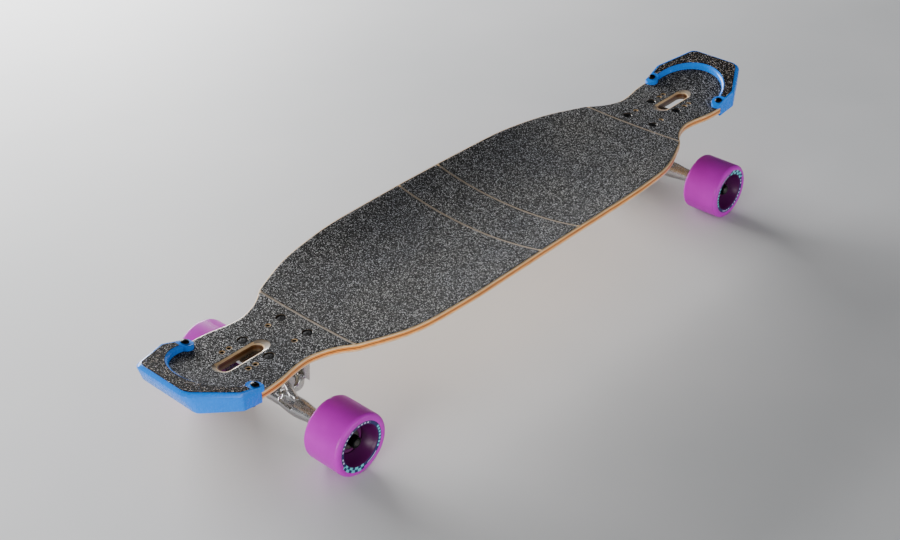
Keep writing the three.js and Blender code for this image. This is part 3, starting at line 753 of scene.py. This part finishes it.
def screw_matrix(turn):
    place = Vector((SCREW[0], turn * SCREW[1], BUMPER_TOP)) * MM
    return Matrix.Translation(place) @ Matrix.Rotation(-SCREW_TILT, 4, "Y")


# ---- Bumper ----

BUMPER_OUTLINE = [(BUMPER_BACK, 61.0), (437.0, 64.0), (488.0, 38.5)]
BUMPER_CORNER_CUT = 8.0
BUMPER_LEAN = 8.8
BUMPER_CHAMFER = 3.2
CHAMFER_SHARES = (0.28, 0.63, 1.41)
BUMPER_CHAMFER_DROP = 4.5
BUMPER_BASE = 98.8
BUMPER_BASE_RISE = 0.84
ARC_X = 415.0
ARC_RADIUS = 49.0
LOBE_RADIUS = 9.0
INLAY_DEPTH = 0.8
INLAY_MARGIN = 0.9
INLAY_BACK = 2.7
INLAY_SHARES = (0.73, 1.02, 1.47)


def bumper_top(x):
    return BUMPER_TOP + BUMPER_TOP_SLOPE * (x - SCREW[0])


def rounded(before, corner, after, cut, steps):
    """Points of a smooth curve that takes a corner, starting and ending cut away from it"""
    before, corner, after = (Vector(p) for p in (before, corner, after))
    start = corner + (before - corner).normalized() * cut
    end = corner + (after - corner).normalized() * cut
    return [
        start * (1 - t) ** 2 + corner * 2 * t * (1 - t) + end * t**2
        for t in (k / steps for k in range(steps + 1))
    ]


def bumper_outline(margin, shares, lean=0.0):
    """The outer outline seen from above, from the middle of the leaning front to the back"""
    back, widest, corner = [Vector((x, y - margin * s)) for (x, y), s in zip(BUMPER_OUTLINE, shares)]
    side = (corner - widest).normalized()
    front_x = corner.x - margin - lean
    tip = corner - side * ((margin + lean) / side.x)
    middle = Vector((front_x, 0))
    points = [middle]
    points += rounded(middle, tip, widest, BUMPER_CORNER_CUT - 0.3 * lean, 8)
    points += rounded(tip, widest, back, 2.2, 4)
    points.append(back)
    return points


def ring_at(points, height, back_x):
    """A closed ring at a height that depends on x, mirrored about the middle"""
    half = points + [Vector((back_x, points[-1].y))]
    right = [(p.x, p.y, height(p.x)) for p in half]
    left = [(p.x, -p.y, height(p.x)) for p in reversed(half[1:])]
    return right + left


def bumper_form(back_x):
    """The bumper's solid outside: levels of margin, lean and rise above its base or its top"""
    def base(x):
        return BUMPER_BASE + BUMPER_BASE_RISE * kick(x)

    levels = [
        (0.9, 1.0, base, 0.0),
        (0.25, 0.98, base, 0.25),
        (0.0, 0.94, base, 0.9),
        (0.0, 0.04, bumper_top, -BUMPER_CHAMFER_DROP - 0.8),
        (0.4, 0.0, bumper_top, -BUMPER_CHAMFER_DROP + 0.4),
        (BUMPER_CHAMFER - 0.6, 0.0, bumper_top, -0.8),
        (BUMPER_CHAMFER, 0.0, bumper_top, -0.2),
        (BUMPER_CHAMFER + 0.6, 0.0, bumper_top, 0.0),
    ]
    rings = []
    for margin, lean, face, rise in levels:
        outline = bumper_outline(margin, CHAMFER_SHARES, lean * BUMPER_LEAN)
        rings.append(ring_at(outline, lambda x: face(x) + rise, back_x))
    return loft("form", rings)


def box_tool(x0, x1, half_y, low=60, high=180):
    return prism("box", [(x0, -half_y), (x1, -half_y), (x1, half_y), (x0, half_y)], low, high)


def post(x, y, radius, low=60, high=180, sides=96):
    return shifted(rod(radius, low, high, "Z", sides), x, y, 0)


def nose_tool():
    """The space that the deck's nose takes, open downwards"""
    rings = []
    xs = stations(380, BUMPER_BACK, 3) + stations(BUMPER_BACK + 2, NOSE_TIP, 3) + [NOSE_TIP + GAP]
    for x in xs:
        held = min(max(x, BUMPER_BACK), NOSE_TIP)
        width = half_width(held) + GAP
        rise = kick(x) - kick(held) - GRIP_DEPTH + GAP
        top = [(x, y, surface(held, y) + rise) for y in np.linspace(-width, width, 21)]
        rings.append(top + [(x, width, 60), (x, -width, 60)])
    return loft("nose", rings)


def over_deck_tool():
    """Everything below the deck's top behind the bumper's walls, over any width"""
    rings = []
    for x in stations(380, BUMPER_BACK + GAP, 3):
        ys = np.linspace(-75, 75, 31)
        top = [(x, y, surface(x, min(abs(y), 60)) - GRIP_DEPTH + GAP) for y in ys]
        rings.append(top + [(x, 75, 60), (x, -75, 60)])
    return loft("over", rings)


def plan_tool(margin, arc_radius):
    """The inlay's outline as an upright solid, up to the arc"""
    outline = bumper_outline(BUMPER_CHAMFER + INLAY_MARGIN + margin, INLAY_SHARES)
    points = [(p.x, p.y) for p in outline] + [(p.x, -p.y) for p in reversed(outline[1:])]
    plan = prism("plan", points, 60, 190)
    tools = [
        post(ARC_X, 0, arc_radius, 40, 200, 160),
        box_tool(380, SCREW[0] + LOBE_RADIUS + margin, 90, 40, 200),
        post(SCREW[0], SCREW[1], LOBE_RADIUS + margin, 40, 200),
        post(SCREW[0], -SCREW[1], LOBE_RADIUS + margin, 40, 200),
    ]
    return combine(plan, tools)


def top_layer(bottom, top):
    """A layer parallel to the bumper's sloping top"""
    rings = []
    for x in (340, 560):
        z = bumper_top(x)
        rings.append([(x, -90, z + bottom), (x, 90, z + bottom), (x, 90, z + top), (x, -90, z + top)])
    return loft("layer", rings)


def arc_rounding():
    """What is taken off the top edge of the arc, parallel to the sloping top"""
    profile = [
        (-0.4, -3.0), (0.15, -2.3), (0.8, -1.2), (1.7, -0.45), (2.9, 0.0), (3.1, 0.2), (3.1, 9.0),
    ]
    circle = [2 * math.pi * k / 160 for k in range(160)]
    rings = []
    for out, rise in profile:
        radius = ARC_RADIUS + out
        ring = [(ARC_X + radius * math.cos(a), radius * math.sin(a)) for a in circle]
        rings.append([(x, y, bumper_top(x) + rise) for x, y in ring])
    front = box_tool(SCREW[0] + LOBE_RADIUS - 2, 520, 90, 40, 200)
    return combine(loft("rounding", rings), [front], "INTERSECT")


def horseshoe(margin):
    """The bumper seen from above, grown by a margin: an open arc and a lobe round each screw"""
    radius = ARC_RADIUS - margin
    points = [(SCREW[0], -90), (520, -90), (520, 90), (SCREW[0], 90), (SCREW[0], radius)]
    points += [
        (ARC_X + radius * math.cos(angle), radius * math.sin(angle))
        for angle in np.linspace(math.pi / 2, -math.pi / 2, 81)
    ]
    points.append((SCREW[0], -radius))
    radius = LOBE_RADIUS + margin
    lobes = [post(SCREW[0], turn * SCREW[1], radius, 50, 190, 90) for turn in (-1, 1)]
    return combine(prism("plan", points, 40, 200), lobes, "UNION")


def make_bumper():
    form = combine(horseshoe(0), [bumper_form(391)], "INTERSECT")
    plan = plan_tool(0, ARC_RADIUS + INLAY_BACK)
    recess = combine(plan, [top_layer(-INLAY_DEPTH, 6)], "INTERSECT")
    for tool in (over_deck_tool(), nose_tool(), recess, arc_rounding()):
        combine(form, [tool])
    holes = []
    for turn in (-1, 1):
        profile = [(0, -40), (2.7, -40), (2.7, -0.8), (3.3, 0.1), (3.3, 5), (0, 5)]
        holes.append(moved(lathe("hole", profile, 32, "Z"), screw_matrix(turn)))
    return combine(form, holes)


def make_inlay():
    plan = plan_tool(GAP, ARC_RADIUS + INLAY_BACK + GAP)
    return combine(plan, [top_layer(GAP - INLAY_DEPTH, GAP)], "INTERSECT")


# ---- Fasteners ----


def cross_recess(depth, reach, width):
    """Two crossed wedges, as a driver cuts"""
    arms = []
    for turn in (0, math.pi / 2):
        plan = [(-reach, -width), (reach, -width), (reach, width), (-reach, width)]
        arm = prism("arm", plan, -depth, 2)
        for vertex in arm.data.vertices:
            if vertex.co.z < 0:
                vertex.co.x *= 0.45
                vertex.co.y *= 0.7
        arms.append(moved(arm, Matrix.Rotation(turn, 4, "Z")))
    return arms


def nut(flats, low, high, bore, chamfer=0.7):
    """A hexagonal nut about Z with chamfered corners"""
    body = prism("nut", hexagon(flats), low, high)
    reach = flats / math.sqrt(3)
    mid = (low + high) / 2
    form = lathe("form", [
        (0, low), (reach - chamfer, low), (reach + 0.2, low + 1.2 * chamfer), (reach + 0.2, mid),
        (reach + 0.2, high - 1.2 * chamfer), (reach - chamfer, high), (0, high),
    ], 48, "Z")
    combine(body, [form], "INTERSECT")
    if bore:
        combine(body, [rod(bore, low - 1, high + 1, "Z", 32)])
    return body


def thread(radius, low, high, pitch=0.9):
    """A bar about Z with thread-like grooves and a chamfered lower end"""
    chamfer = 0.8
    profile = [(0, low), (radius - chamfer, low)]
    z = low + chamfer
    while z < high - pitch:
        profile += [(radius, z), (radius - 0.28, z + pitch / 2)]
        z += pitch
    profile += [(radius, high), (0, high)]
    return lathe("thread", profile, 32, "Z")


PLATE_DEPTH = 6.0


def make_mounting_bolt():
    """Flat head, shank, and locknut under the baseplate, origin on the grip's face"""
    head = lathe("head", [
        (0, -4.0), (2.4, -4.0), (5.0, -1.25), (5.05, -0.85), (4.6, -0.7), (0, -0.7),
    ], 48, "Z")
    combine(head, cross_recess(2.6, 2.6, 0.55))
    top = DECK_UNDERSIDE - PLATE_DEPTH - TRUCK_TOP - GAP
    shank = thread(2.35, top - 8, -3.9)
    lock = nut(8.8, top - 6, top, 0)
    collar = lathe("collar", [
        (0, top - 6.6), (3.4, top - 6.6), (3.9, top - 6.0), (3.9, top - 5), (0, top - 5),
    ], 40, "Z")
    return combine(head, [shank, lock, collar], "UNION")


def make_bumper_screw():
    """Button head with a hexagonal socket, and its nut under the deck, origin on the bumper's top"""
    head = lathe("head", [
        (0, 0.3), (4.6, 0.3), (4.8, 0.7), (4.6, 1.5), (3.9, 2.3), (2.9, 2.8), (1.6, 3.0), (0, 3.0),
    ], 48, "Z")
    socket = prism("socket", hexagon(3.2), 1.2, 5)
    combine(head, [socket])
    shank = thread(2.15, -23.2, 0.8)
    lock = nut(8, -22.6, -19.2, 0)
    return combine(head, [shank, lock], "UNION")


# ---- Truck, in a frame whose origin is the middle of the axle ----

WHEEL_RADIUS = 36.5
AXLE = Vector((342.4, 0, WHEEL_RADIUS))
PLATE_TOP = DECK_UNDERSIDE - GAP - WHEEL_RADIUS
PLATE_HOLES = (-31.2, 22.8, 32.3)
STEER_ANGLE = math.radians(50)
BEHIND, BELOW = 27.0, 21.0
RING_X = BEHIND * math.cos(STEER_ANGLE) - BELOW * math.sin(STEER_ANGLE)
RING_Z = BEHIND * math.sin(STEER_ANGLE) + BELOW * math.cos(STEER_ANGLE)
RING_PLACE = Matrix.Translation(Vector((RING_X, 0, RING_Z)) * MM)
STEERING = RING_PLACE @ Matrix.Rotation(-STEER_ANGLE, 4, "Y")
SEAT = 19.8
SEAT_BOSS = 10.0
RING_RADIUS = 15.0
BLOCK_MOUTH, BLOCK_END, BLOCK_RADIUS = 34.6, 50.0, 10.4
NUB_RADIUS, NUB_END = 5.5, 44.5
CUP_RADIUS = 7.8
HANGER_HALF = 87.3


def steered(made):
    return moved(made, STEERING)


def in_truck(x, z):
    point = STEERING @ (Vector((x, 0, z)) * MM) / MM
    return (point.x, point.z)


def slab(points, width):
    """[x, z] points extruded along Y about the middle plane"""
    return loft("slab", [[(x, y, z) for x, z in points] for y in (-width / 2, width / 2)])


def hull(points):
    made = raw("hull", points, [])
    shape = bmesh.new()
    shape.from_mesh(made.data)
    bmesh.ops.convex_hull(shape, input=shape.verts)
    shape.to_mesh(made.data)
    shape.free()
    return made


def make_hanger():
    half = [
        (9.0, 0), (9.0, 11), (9.8, 18), (10.7, 27), (11.0, 34), (10.4, 42), (9.2, 51),
        (8.2, 61), (7.7, 71), (7.5, 80), (7.5, 86.6), (7.0, HANGER_HALF), (0, HANGER_HALF),
    ]
    arms = lathe("arms", [(r, -y) for r, y in reversed(half)] + half[1:], 64)
    eye = steered(lathe("eye", [
        (0, -4.5), (14, -4.5), (15, -3.6), (15, 3.6), (14, 4.5), (0, 4.5),
    ], 72, "Z"))
    neck = steered(lathe("neck", [
        (0, -NUB_END), (2.6, -NUB_END), (4.4, -NUB_END + 0.9), (NUB_RADIUS, -NUB_END + 3),
        (NUB_RADIUS, -BLOCK_MOUTH + 1), (8, -BLOCK_MOUTH + 4), (8.4, -24), (8, -9), (0, -9),
    ], 48, "X"))
    back, front = -BEHIND - 7, -BEHIND + 8
    web = steered(slab([(back, 1), (back, -BELOW), (front, -BELOW), (front + 4, 1)], 16))
    gussets = []
    for turn in (-1, 1):
        points = [
            (-3, 12, -4.4), (-3, 12, 0), (-14, 8, -4.4), (-14, 8, 0),
            (-21, 34, -15), (-32, 34, -15), (-21, 34, -24), (-32, 34, -24),
        ]
        gussets.append(steered(hull([(x, turn * y, z) for x, y, z in points])))
    pockets = []
    for turn in (-1, 1):
        points = [
            (x, turn * y, z)
            for x, z in ((6.2, 2.5), (13, 2.5), (13, 13), (2.2, 13), (2.2, 7.6))
            for y in (11, 33)
        ]
        pockets.append(hull(points))
    tools = [
        steered(rod(7.4, -20, 20)),
        steered(rod(13.2, -30, -4.6)),
        steered(rod(13.2, 4.6, 30)),
        rod(4.5, -100, 100, "Y"),
    ]
    return cast("hanger", [arms, eye, neck, web, *gussets], tools + pockets, 0.8, 4)


def make_baseplate():
    bottom = PLATE_TOP - PLATE_DEPTH
    low_x, high_x, half = -41.0, 40.0, 28.0
    plate = bevel(prism("plate", [
        (low_x, -half + 6), (low_x + 6, -half), (high_x - 6, -half), (high_x, -half + 6),
        (high_x, half - 6), (high_x - 6, half), (low_x + 6, half), (low_x, half - 6),
    ], bottom, PLATE_TOP), 1.6)
    seat_x, seat_z = in_truck(0, SEAT)
    seat_top = seat_x + (bottom + 1 - seat_z) / math.tan(STEER_ANGLE)
    wedge = slab([
        (low_x + 1, bottom + 1), in_truck(-BLOCK_END + 4, BLOCK_RADIUS - 1),
        in_truck(-BLOCK_MOUTH - 1, BLOCK_RADIUS - 1), in_truck(-BLOCK_MOUTH + 14, SEAT),
        (seat_top, bottom + 1),
    ], 28)
    block = steered(lathe("block", [
        (0, -BLOCK_END), (BLOCK_RADIUS - 5, -BLOCK_END), (BLOCK_RADIUS, -BLOCK_END + 5),
        (BLOCK_RADIUS, -BLOCK_MOUTH), (0, -BLOCK_MOUTH),
    ], 64, "X"))
    floor = SEAT + SEAT_BOSS
    pocket = slab([
        in_truck(-9.5, floor), in_truck(9.5, floor), (in_truck(9.5, floor)[0], PLATE_TOP + 2),
        (-34, PLATE_TOP + 2), (-34, in_truck(-9.5, floor + 7)[1]),
    ], 19)
    tools = [
        steered(rod(CUP_RADIUS + 0.5, -BLOCK_END + 2.8, 0, "X")),
        steered(rod(5.3, 0, 40)),
        steered(rod(RING_RADIUS, -10, SEAT)),
        pocket,
    ]
    for x in PLATE_HOLES:
        for turn in (-1, 1):
            tools.append(shifted(rod(3.0, 0, 90), x, turn * BOLT_Y, 0))
    return cast("baseplate", [plate, wedge, block], tools, 0.8, 3)


def make_axle():
    groove = []
    y = 122.0
    while y > 113:
        groove += [(4.0, y - 0.6), (3.72, y - 1.1)]
        y -= 1.0
    half = [(0, 122), (3.3, 122)] + groove + [(4.0, 112.0)]
    return lathe("axle", half + [(r, -y) for r, y in reversed(half)], 48)


def make_kingpin():
    """Head in the baseplate, shank, and locknut under the road-side washer"""
    top = -SEAT - 0.3
    shank = thread(4.75, top - 12, top - 8, 1.2)
    plain = rod(4.7, top - 8.5, SEAT + SEAT_BOSS + 1)
    head = nut(14, SEAT + SEAT_BOSS + 0.3, SEAT + SEAT_BOSS + 5, 0, 1.0)
    lock = nut(14, top - 7.2, top, 0, 1.0)
    collar = lathe("collar", [
        (0, top - 9), (5.6, top - 9), (6.4, top - 8.4), (6.4, top - 6.5), (0, top - 6.5),
    ], 48, "Z")
    return combine(shank, [plain, head, lock, collar], "UNION")


def make_bushing():
    """Origin at the ring's middle, out along +Z"""
    return lathe("bushing", [
        (5.05, 5.1), (5.35, 4.8), (11.7, 4.8), (12.2, 5.3), (12.2, 8.4), (11.8, 10.2), (11.1, 14.6),
        (10.8, 17.3), (10.4, 17.8), (5.35, 17.8), (5.05, 17.5),
    ], 72, "Z")


def make_cup_washer():
    return lathe("washer", [
        (5.05, 18.1), (10.9, 18.1), (11.3, 17.9), (11.5, 16.4), (12.3, 16.2), (12.5, 16.5),
        (12.4, 18.8), (11.7, 19.5), (5.05, 19.5),
    ], 64, "Z")


# ---- Wheel, about the Y axis with its outer face at +Y ----

WHEEL_Y = 103.2
CORE_OFFSET = -2.5
CORE_HALF = 12.0
BEARING_OFFSET = 8.5
BEARING_WIDTH = 6.7


def arc_points(x, y, radius, start, end, steps):
    return [
        (x + radius * math.cos(math.radians(a)), y + radius * math.sin(math.radians(a)))
        for a in np.linspace(start, end, steps)
    ]


def make_tyre():
    """Square shoulders with soft edges, flat lips, and recesses down to the core on both faces"""
    face = 25.0
    half = [(WHEEL_RADIUS, y) for y in (0, 12, face - 5.2)]
    half += arc_points(32.2, face - 4.3, 4.3, 8, 84, 8)
    half += [
        (31.4, face), (29.2, face - 0.05), (28.7, face - 0.35), (25.6, face - 0.4), (25.0, face - 0.6),
    ]
    inside = [(r, -y) for r, y in half]
    bore_low, bore_high = CORE_OFFSET - CORE_HALF, CORE_OFFSET + CORE_HALF
    upper = [
        (24.3, face - 1.5), (23.5, face - 4), (21.5, face - 9), (18.2, bore_high + 2.2),
        (16.3, bore_high),
    ]
    lower = [
        (24.3, -face + 1.5), (23.5, -face + 4), (21.2, -face + 7), (18.2, bore_low - 1.6),
        (16.3, bore_low),
    ]
    profile = list(reversed(inside)) + half[1:] + upper + list(reversed(lower))
    return lathe("tyre", profile, 160)


def make_core():
    """Hub with a bearing seat and a stepped face at both ends"""
    half = CORE_HALF
    return lathe("core", [
        (11.15, -half), (12.4, -half), (12.9, -half + 0.6), (15.2, -half + 0.6), (16.0, -half + 1.2),
        (16.0, half - 1.2), (15.2, half - 0.6), (12.9, half - 0.6), (12.4, half), (11.15, half),
        (11.15, half - 7), (9.0, half - 7), (9.0, -half + 7), (11.15, -half + 7),
    ])


def make_bearing():
    """Rings, a dished seal between them, and a rim on each"""
    w = BEARING_WIDTH / 2
    face = [
        (4.3, w), (6.0, w), (6.2, w - 0.35), (9.2, w - 0.35), (9.4, w), (10.5, w), (10.7, w - 0.25),
    ]
    return lathe("bearing", face + [(r, -y) for r, y in reversed(face)], 72)


def make_axle_nut():
    """Locknut with a nylon ring proud of its outer face, about Y"""
    body = nut(12.8, -3.7, 2.4, 0, 0.9)
    collar = lathe("collar", [(0, 2.0), (5.9, 2.0), (5.9, 3.0), (5.3, 3.7), (0, 3.7)], 48, "Z")
    combine(body, [collar], "UNION")
    combine(body, [rod(4.3, -6, 6, "Z", 40)])
    return moved(body, Matrix.Rotation(-math.pi / 2, 4, "X"))


def make_speed_washer():
    return lathe("washer", [(4.3, -0.45), (7.6, -0.45), (7.6, 0.45), (4.3, 0.45)], 48)


# ---- Assembly ----


class Maker:
    """Makes a shape once, and places named copies of it."""

    def __init__(self):
        self.made = {}

    def place(self, key, build, matrix, name, body, material, slot, *nodes, angle=35):
        if key not in self.made:
            first = build()
            first.data.materials.clear()
            first.data.materials.append(material)
            shade(first, angle)
            self.made[key] = first.data
            discard(first)
        twin = bpy.data.objects.new(name, self.made[key])
        scene.collection.objects.link(twin)
        twin.matrix_world = matrix
        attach(twin, body)
        if nodes:
            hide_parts(*nodes)
        return twin


maker = Maker()


def at(x, y, z):
    return Matrix.Translation(Vector((x, y, z)) * MM)


def make_wheel(end, side_name, truck, turn):
    name = f"{end}_{side_name}"
    body = f"{name}_wheel"
    facing = Matrix.Identity(4) if turn > 0 else Matrix.Rotation(math.pi, 4, "X")
    wheel = truck @ at(0, turn * WHEEL_Y, 0) @ facing
    maker.place(
        "tyre", make_tyre, wheel, f"{name}_tyre_fine", body, URETHANE, "purple_urethane",
        f"{name}_tyre",
    )
    core = wheel @ at(0, CORE_OFFSET, 0)
    maker.place(
        "core", make_core, core, f"{name}_core_fine", body, CORE, "magenta_plastic", f"{name}_core",
    )
    for place, offset in (("inner", -BEARING_OFFSET), ("outer", BEARING_OFFSET)):
        maker.place(
            "bearing", make_bearing, core @ at(0, offset, 0), f"{name}_{place}_bearing_fine", body,
            BEARING_STEEL, "steel", f"{name}_{place}_bearing",
        )
    core_end = CORE_OFFSET + CORE_HALF
    maker.place(
        "axle_nut", make_axle_nut, wheel @ at(0, core_end + 5.2, 0), f"{name}_axle_nut_fine",
        f"{end}_truck", BLACK, "black_steel", f"{name}_axle_nut",
    )
    maker.place(
        "speed_washer", make_speed_washer, wheel @ at(0, core_end + 0.75, 0),
        f"{name}_speed_washer", f"{end}_truck", BEARING_STEEL, "steel",
    )


def make_truck(end, turned, sides):
    truck = turned @ Matrix.Translation(AXLE * MM)
    steering = truck @ STEERING
    flipped = steering @ Matrix.Rotation(math.pi, 4, "X")
    moving = f"{end}_truck"
    for key, build, matrix, body, material, slot, angle in (
        ("hanger", make_hanger, truck, moving, SILVER, "truck_metal", 40),
        ("baseplate", make_baseplate, truck, "board", SILVER, "truck_metal", 40),
        ("axle", make_axle, truck, moving, AXLE_STEEL, "steel", 35),
        ("kingpin", make_kingpin, steering, "board", STEEL, "steel", 35),
    ):
        node = f"{end}_{key}"
        maker.place(key, build, matrix, f"{node}_fine", body, material, slot, node, angle=angle)
    for place, matrix in (("boardside", steering), ("roadside", flipped)):
        bushing = maker.place(
            "bushing", make_bushing, matrix, f"{end}_{place}_bushing_fine", "board", CREAM,
            "cream_urethane", f"{end}_{place}_bushing",
        )
        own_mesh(bushing)
        maker.place(
            "cup_washer", make_cup_washer, matrix, f"{end}_{place}_washer_fine", "board", STEEL,
            "steel", f"{end}_{place}_washer",
        )
    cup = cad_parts[f"{end}_pivot_cup"]
    cup.data.materials.clear()
    cup.data.materials.append(CREAM)
    for side_name, turn in sides:
        make_wheel(end, side_name, truck, turn)


def make_end(end, side, sides):
    turned = end_turn(side)
    maker.place(
        "bumper", make_bumper, turned, f"{end}_bumper_fine", "board", BLUE, "blue_plastic",
        f"{end}_bumper", angle=28,
    )
    maker.place(
        "inlay", make_inlay, turned, f"{end}_bumper_grip_fine", "board", INLAY, "grip",
        f"{end}_bumper_grip",
    )
    for side_name, turn in sides:
        maker.place(
            "bumper_screw", make_bumper_screw, turned @ screw_matrix(turn),
            f"{end}_{side_name}_bumper_screw_fine", "board", BLACK, "black_steel",
            f"{end}_{side_name}_bumper_screw",
        )
        for x, row in zip(BOLT_X, ("inner", "outer")):
            maker.place(
                "mounting_bolt", make_mounting_bolt, turned @ at(x, turn * BOLT_Y, TRUCK_TOP),
                f"{end}_{side_name}_{row}_bolt_fine", "board", BLACK, "black_steel",
                f"{end}_{side_name}_{row}_bolt",
            )
    make_truck(end, turned, sides)


def make_grip():
    bare = SEAM_WIDTH / 2
    centre = SEAM_INNER - bare
    grip_panel("centre_grip_sheet", "centre_grip", -centre, centre, [])
    for side, end in ((1, "front"), (-1, "rear")):
        low, high = sorted((side * (SEAM_INNER + bare), side * (SEAM_OUTER - bare)))
        grip_panel(f"{end}_platform_sheet", f"{end}_platform_grip", low, high, [])
        low, high = sorted((side * (SEAM_OUTER + bare), side * (NOSE_TIP - 9)))
        tools = [slot_tool(side, 0.5), *hole_tools(side, SINK_RADIUS + GAP, 3.6, False)]
        tools.append(moved(horseshoe(GAP), end_turn(side)))
        grip_panel(f"{end}_end_sheet", f"{end}_end_grip", low, high, tools, 2.5)


make_deck()
make_grip()
make_end("front", 1, (("left", 1), ("right", -1)))
make_end("rear", -1, (("right", 1), ("left", -1)))

# ---- Floor and light ----


def make_floor():
    mesh = bpy.data.meshes.new("floor")
    mesh.from_pydata([(-9, -9, 0), (9, -9, 0), (9, 9, 0), (-9, 9, 0)], [], [(0, 1, 2, 3)])
    floor = bpy.data.objects.new("floor", mesh)
    scene.collection.objects.link(floor)
    s = Shader("floor", Roughness=0.6)
    s.feed("Base Color", s.ramp(s.noise(3, 3), [(0.3, (0.6, 0.61, 0.62)), (0.7, (0.66, 0.66, 0.67))]))
    mesh.materials.append(s.material)


def area_light(name, place, target, size, energy, colour=(1, 1, 1)):
    data = bpy.data.lights.new(name, "AREA")
    data.shape = "RECTANGLE"
    data.size, data.size_y = size
    data.energy = energy
    data.color = colour
    light = bpy.data.objects.new(name, data)
    light.location = place
    light.rotation_euler = (Vector(target) - Vector(place)).to_track_quat("-Z", "Y").to_euler()
    scene.collection.objects.link(light)


make_floor()
area_light("key", (-1.9, -0.4, 0.5), (-0.1, 0, 0.08), (1.1, 0.7), 30, (1, 0.99, 0.97))
area_light("back", (0.3, 2.3, 0.62), (0, 0, 0.1), (2.2, 0.5), 165)
area_light("fill", (0.4, -2.2, 0.3), (0, 0, 0.08), (2.4, 0.5), 27, (0.98, 0.99, 1))
area_light("top", (0.1, 0.1, 2.4), (0, 0, 0.1), (1.4, 1.4), 1)
world = bpy.data.worlds.new("world")
world.use_nodes = True
world.node_tree.nodes["Background"].inputs["Color"].default_value = (0.85, 0.88, 0.93, 1)
world.node_tree.nodes["Background"].inputs["Strength"].default_value = 0.13
scene.world = world

bpy.context.view_layer.update()
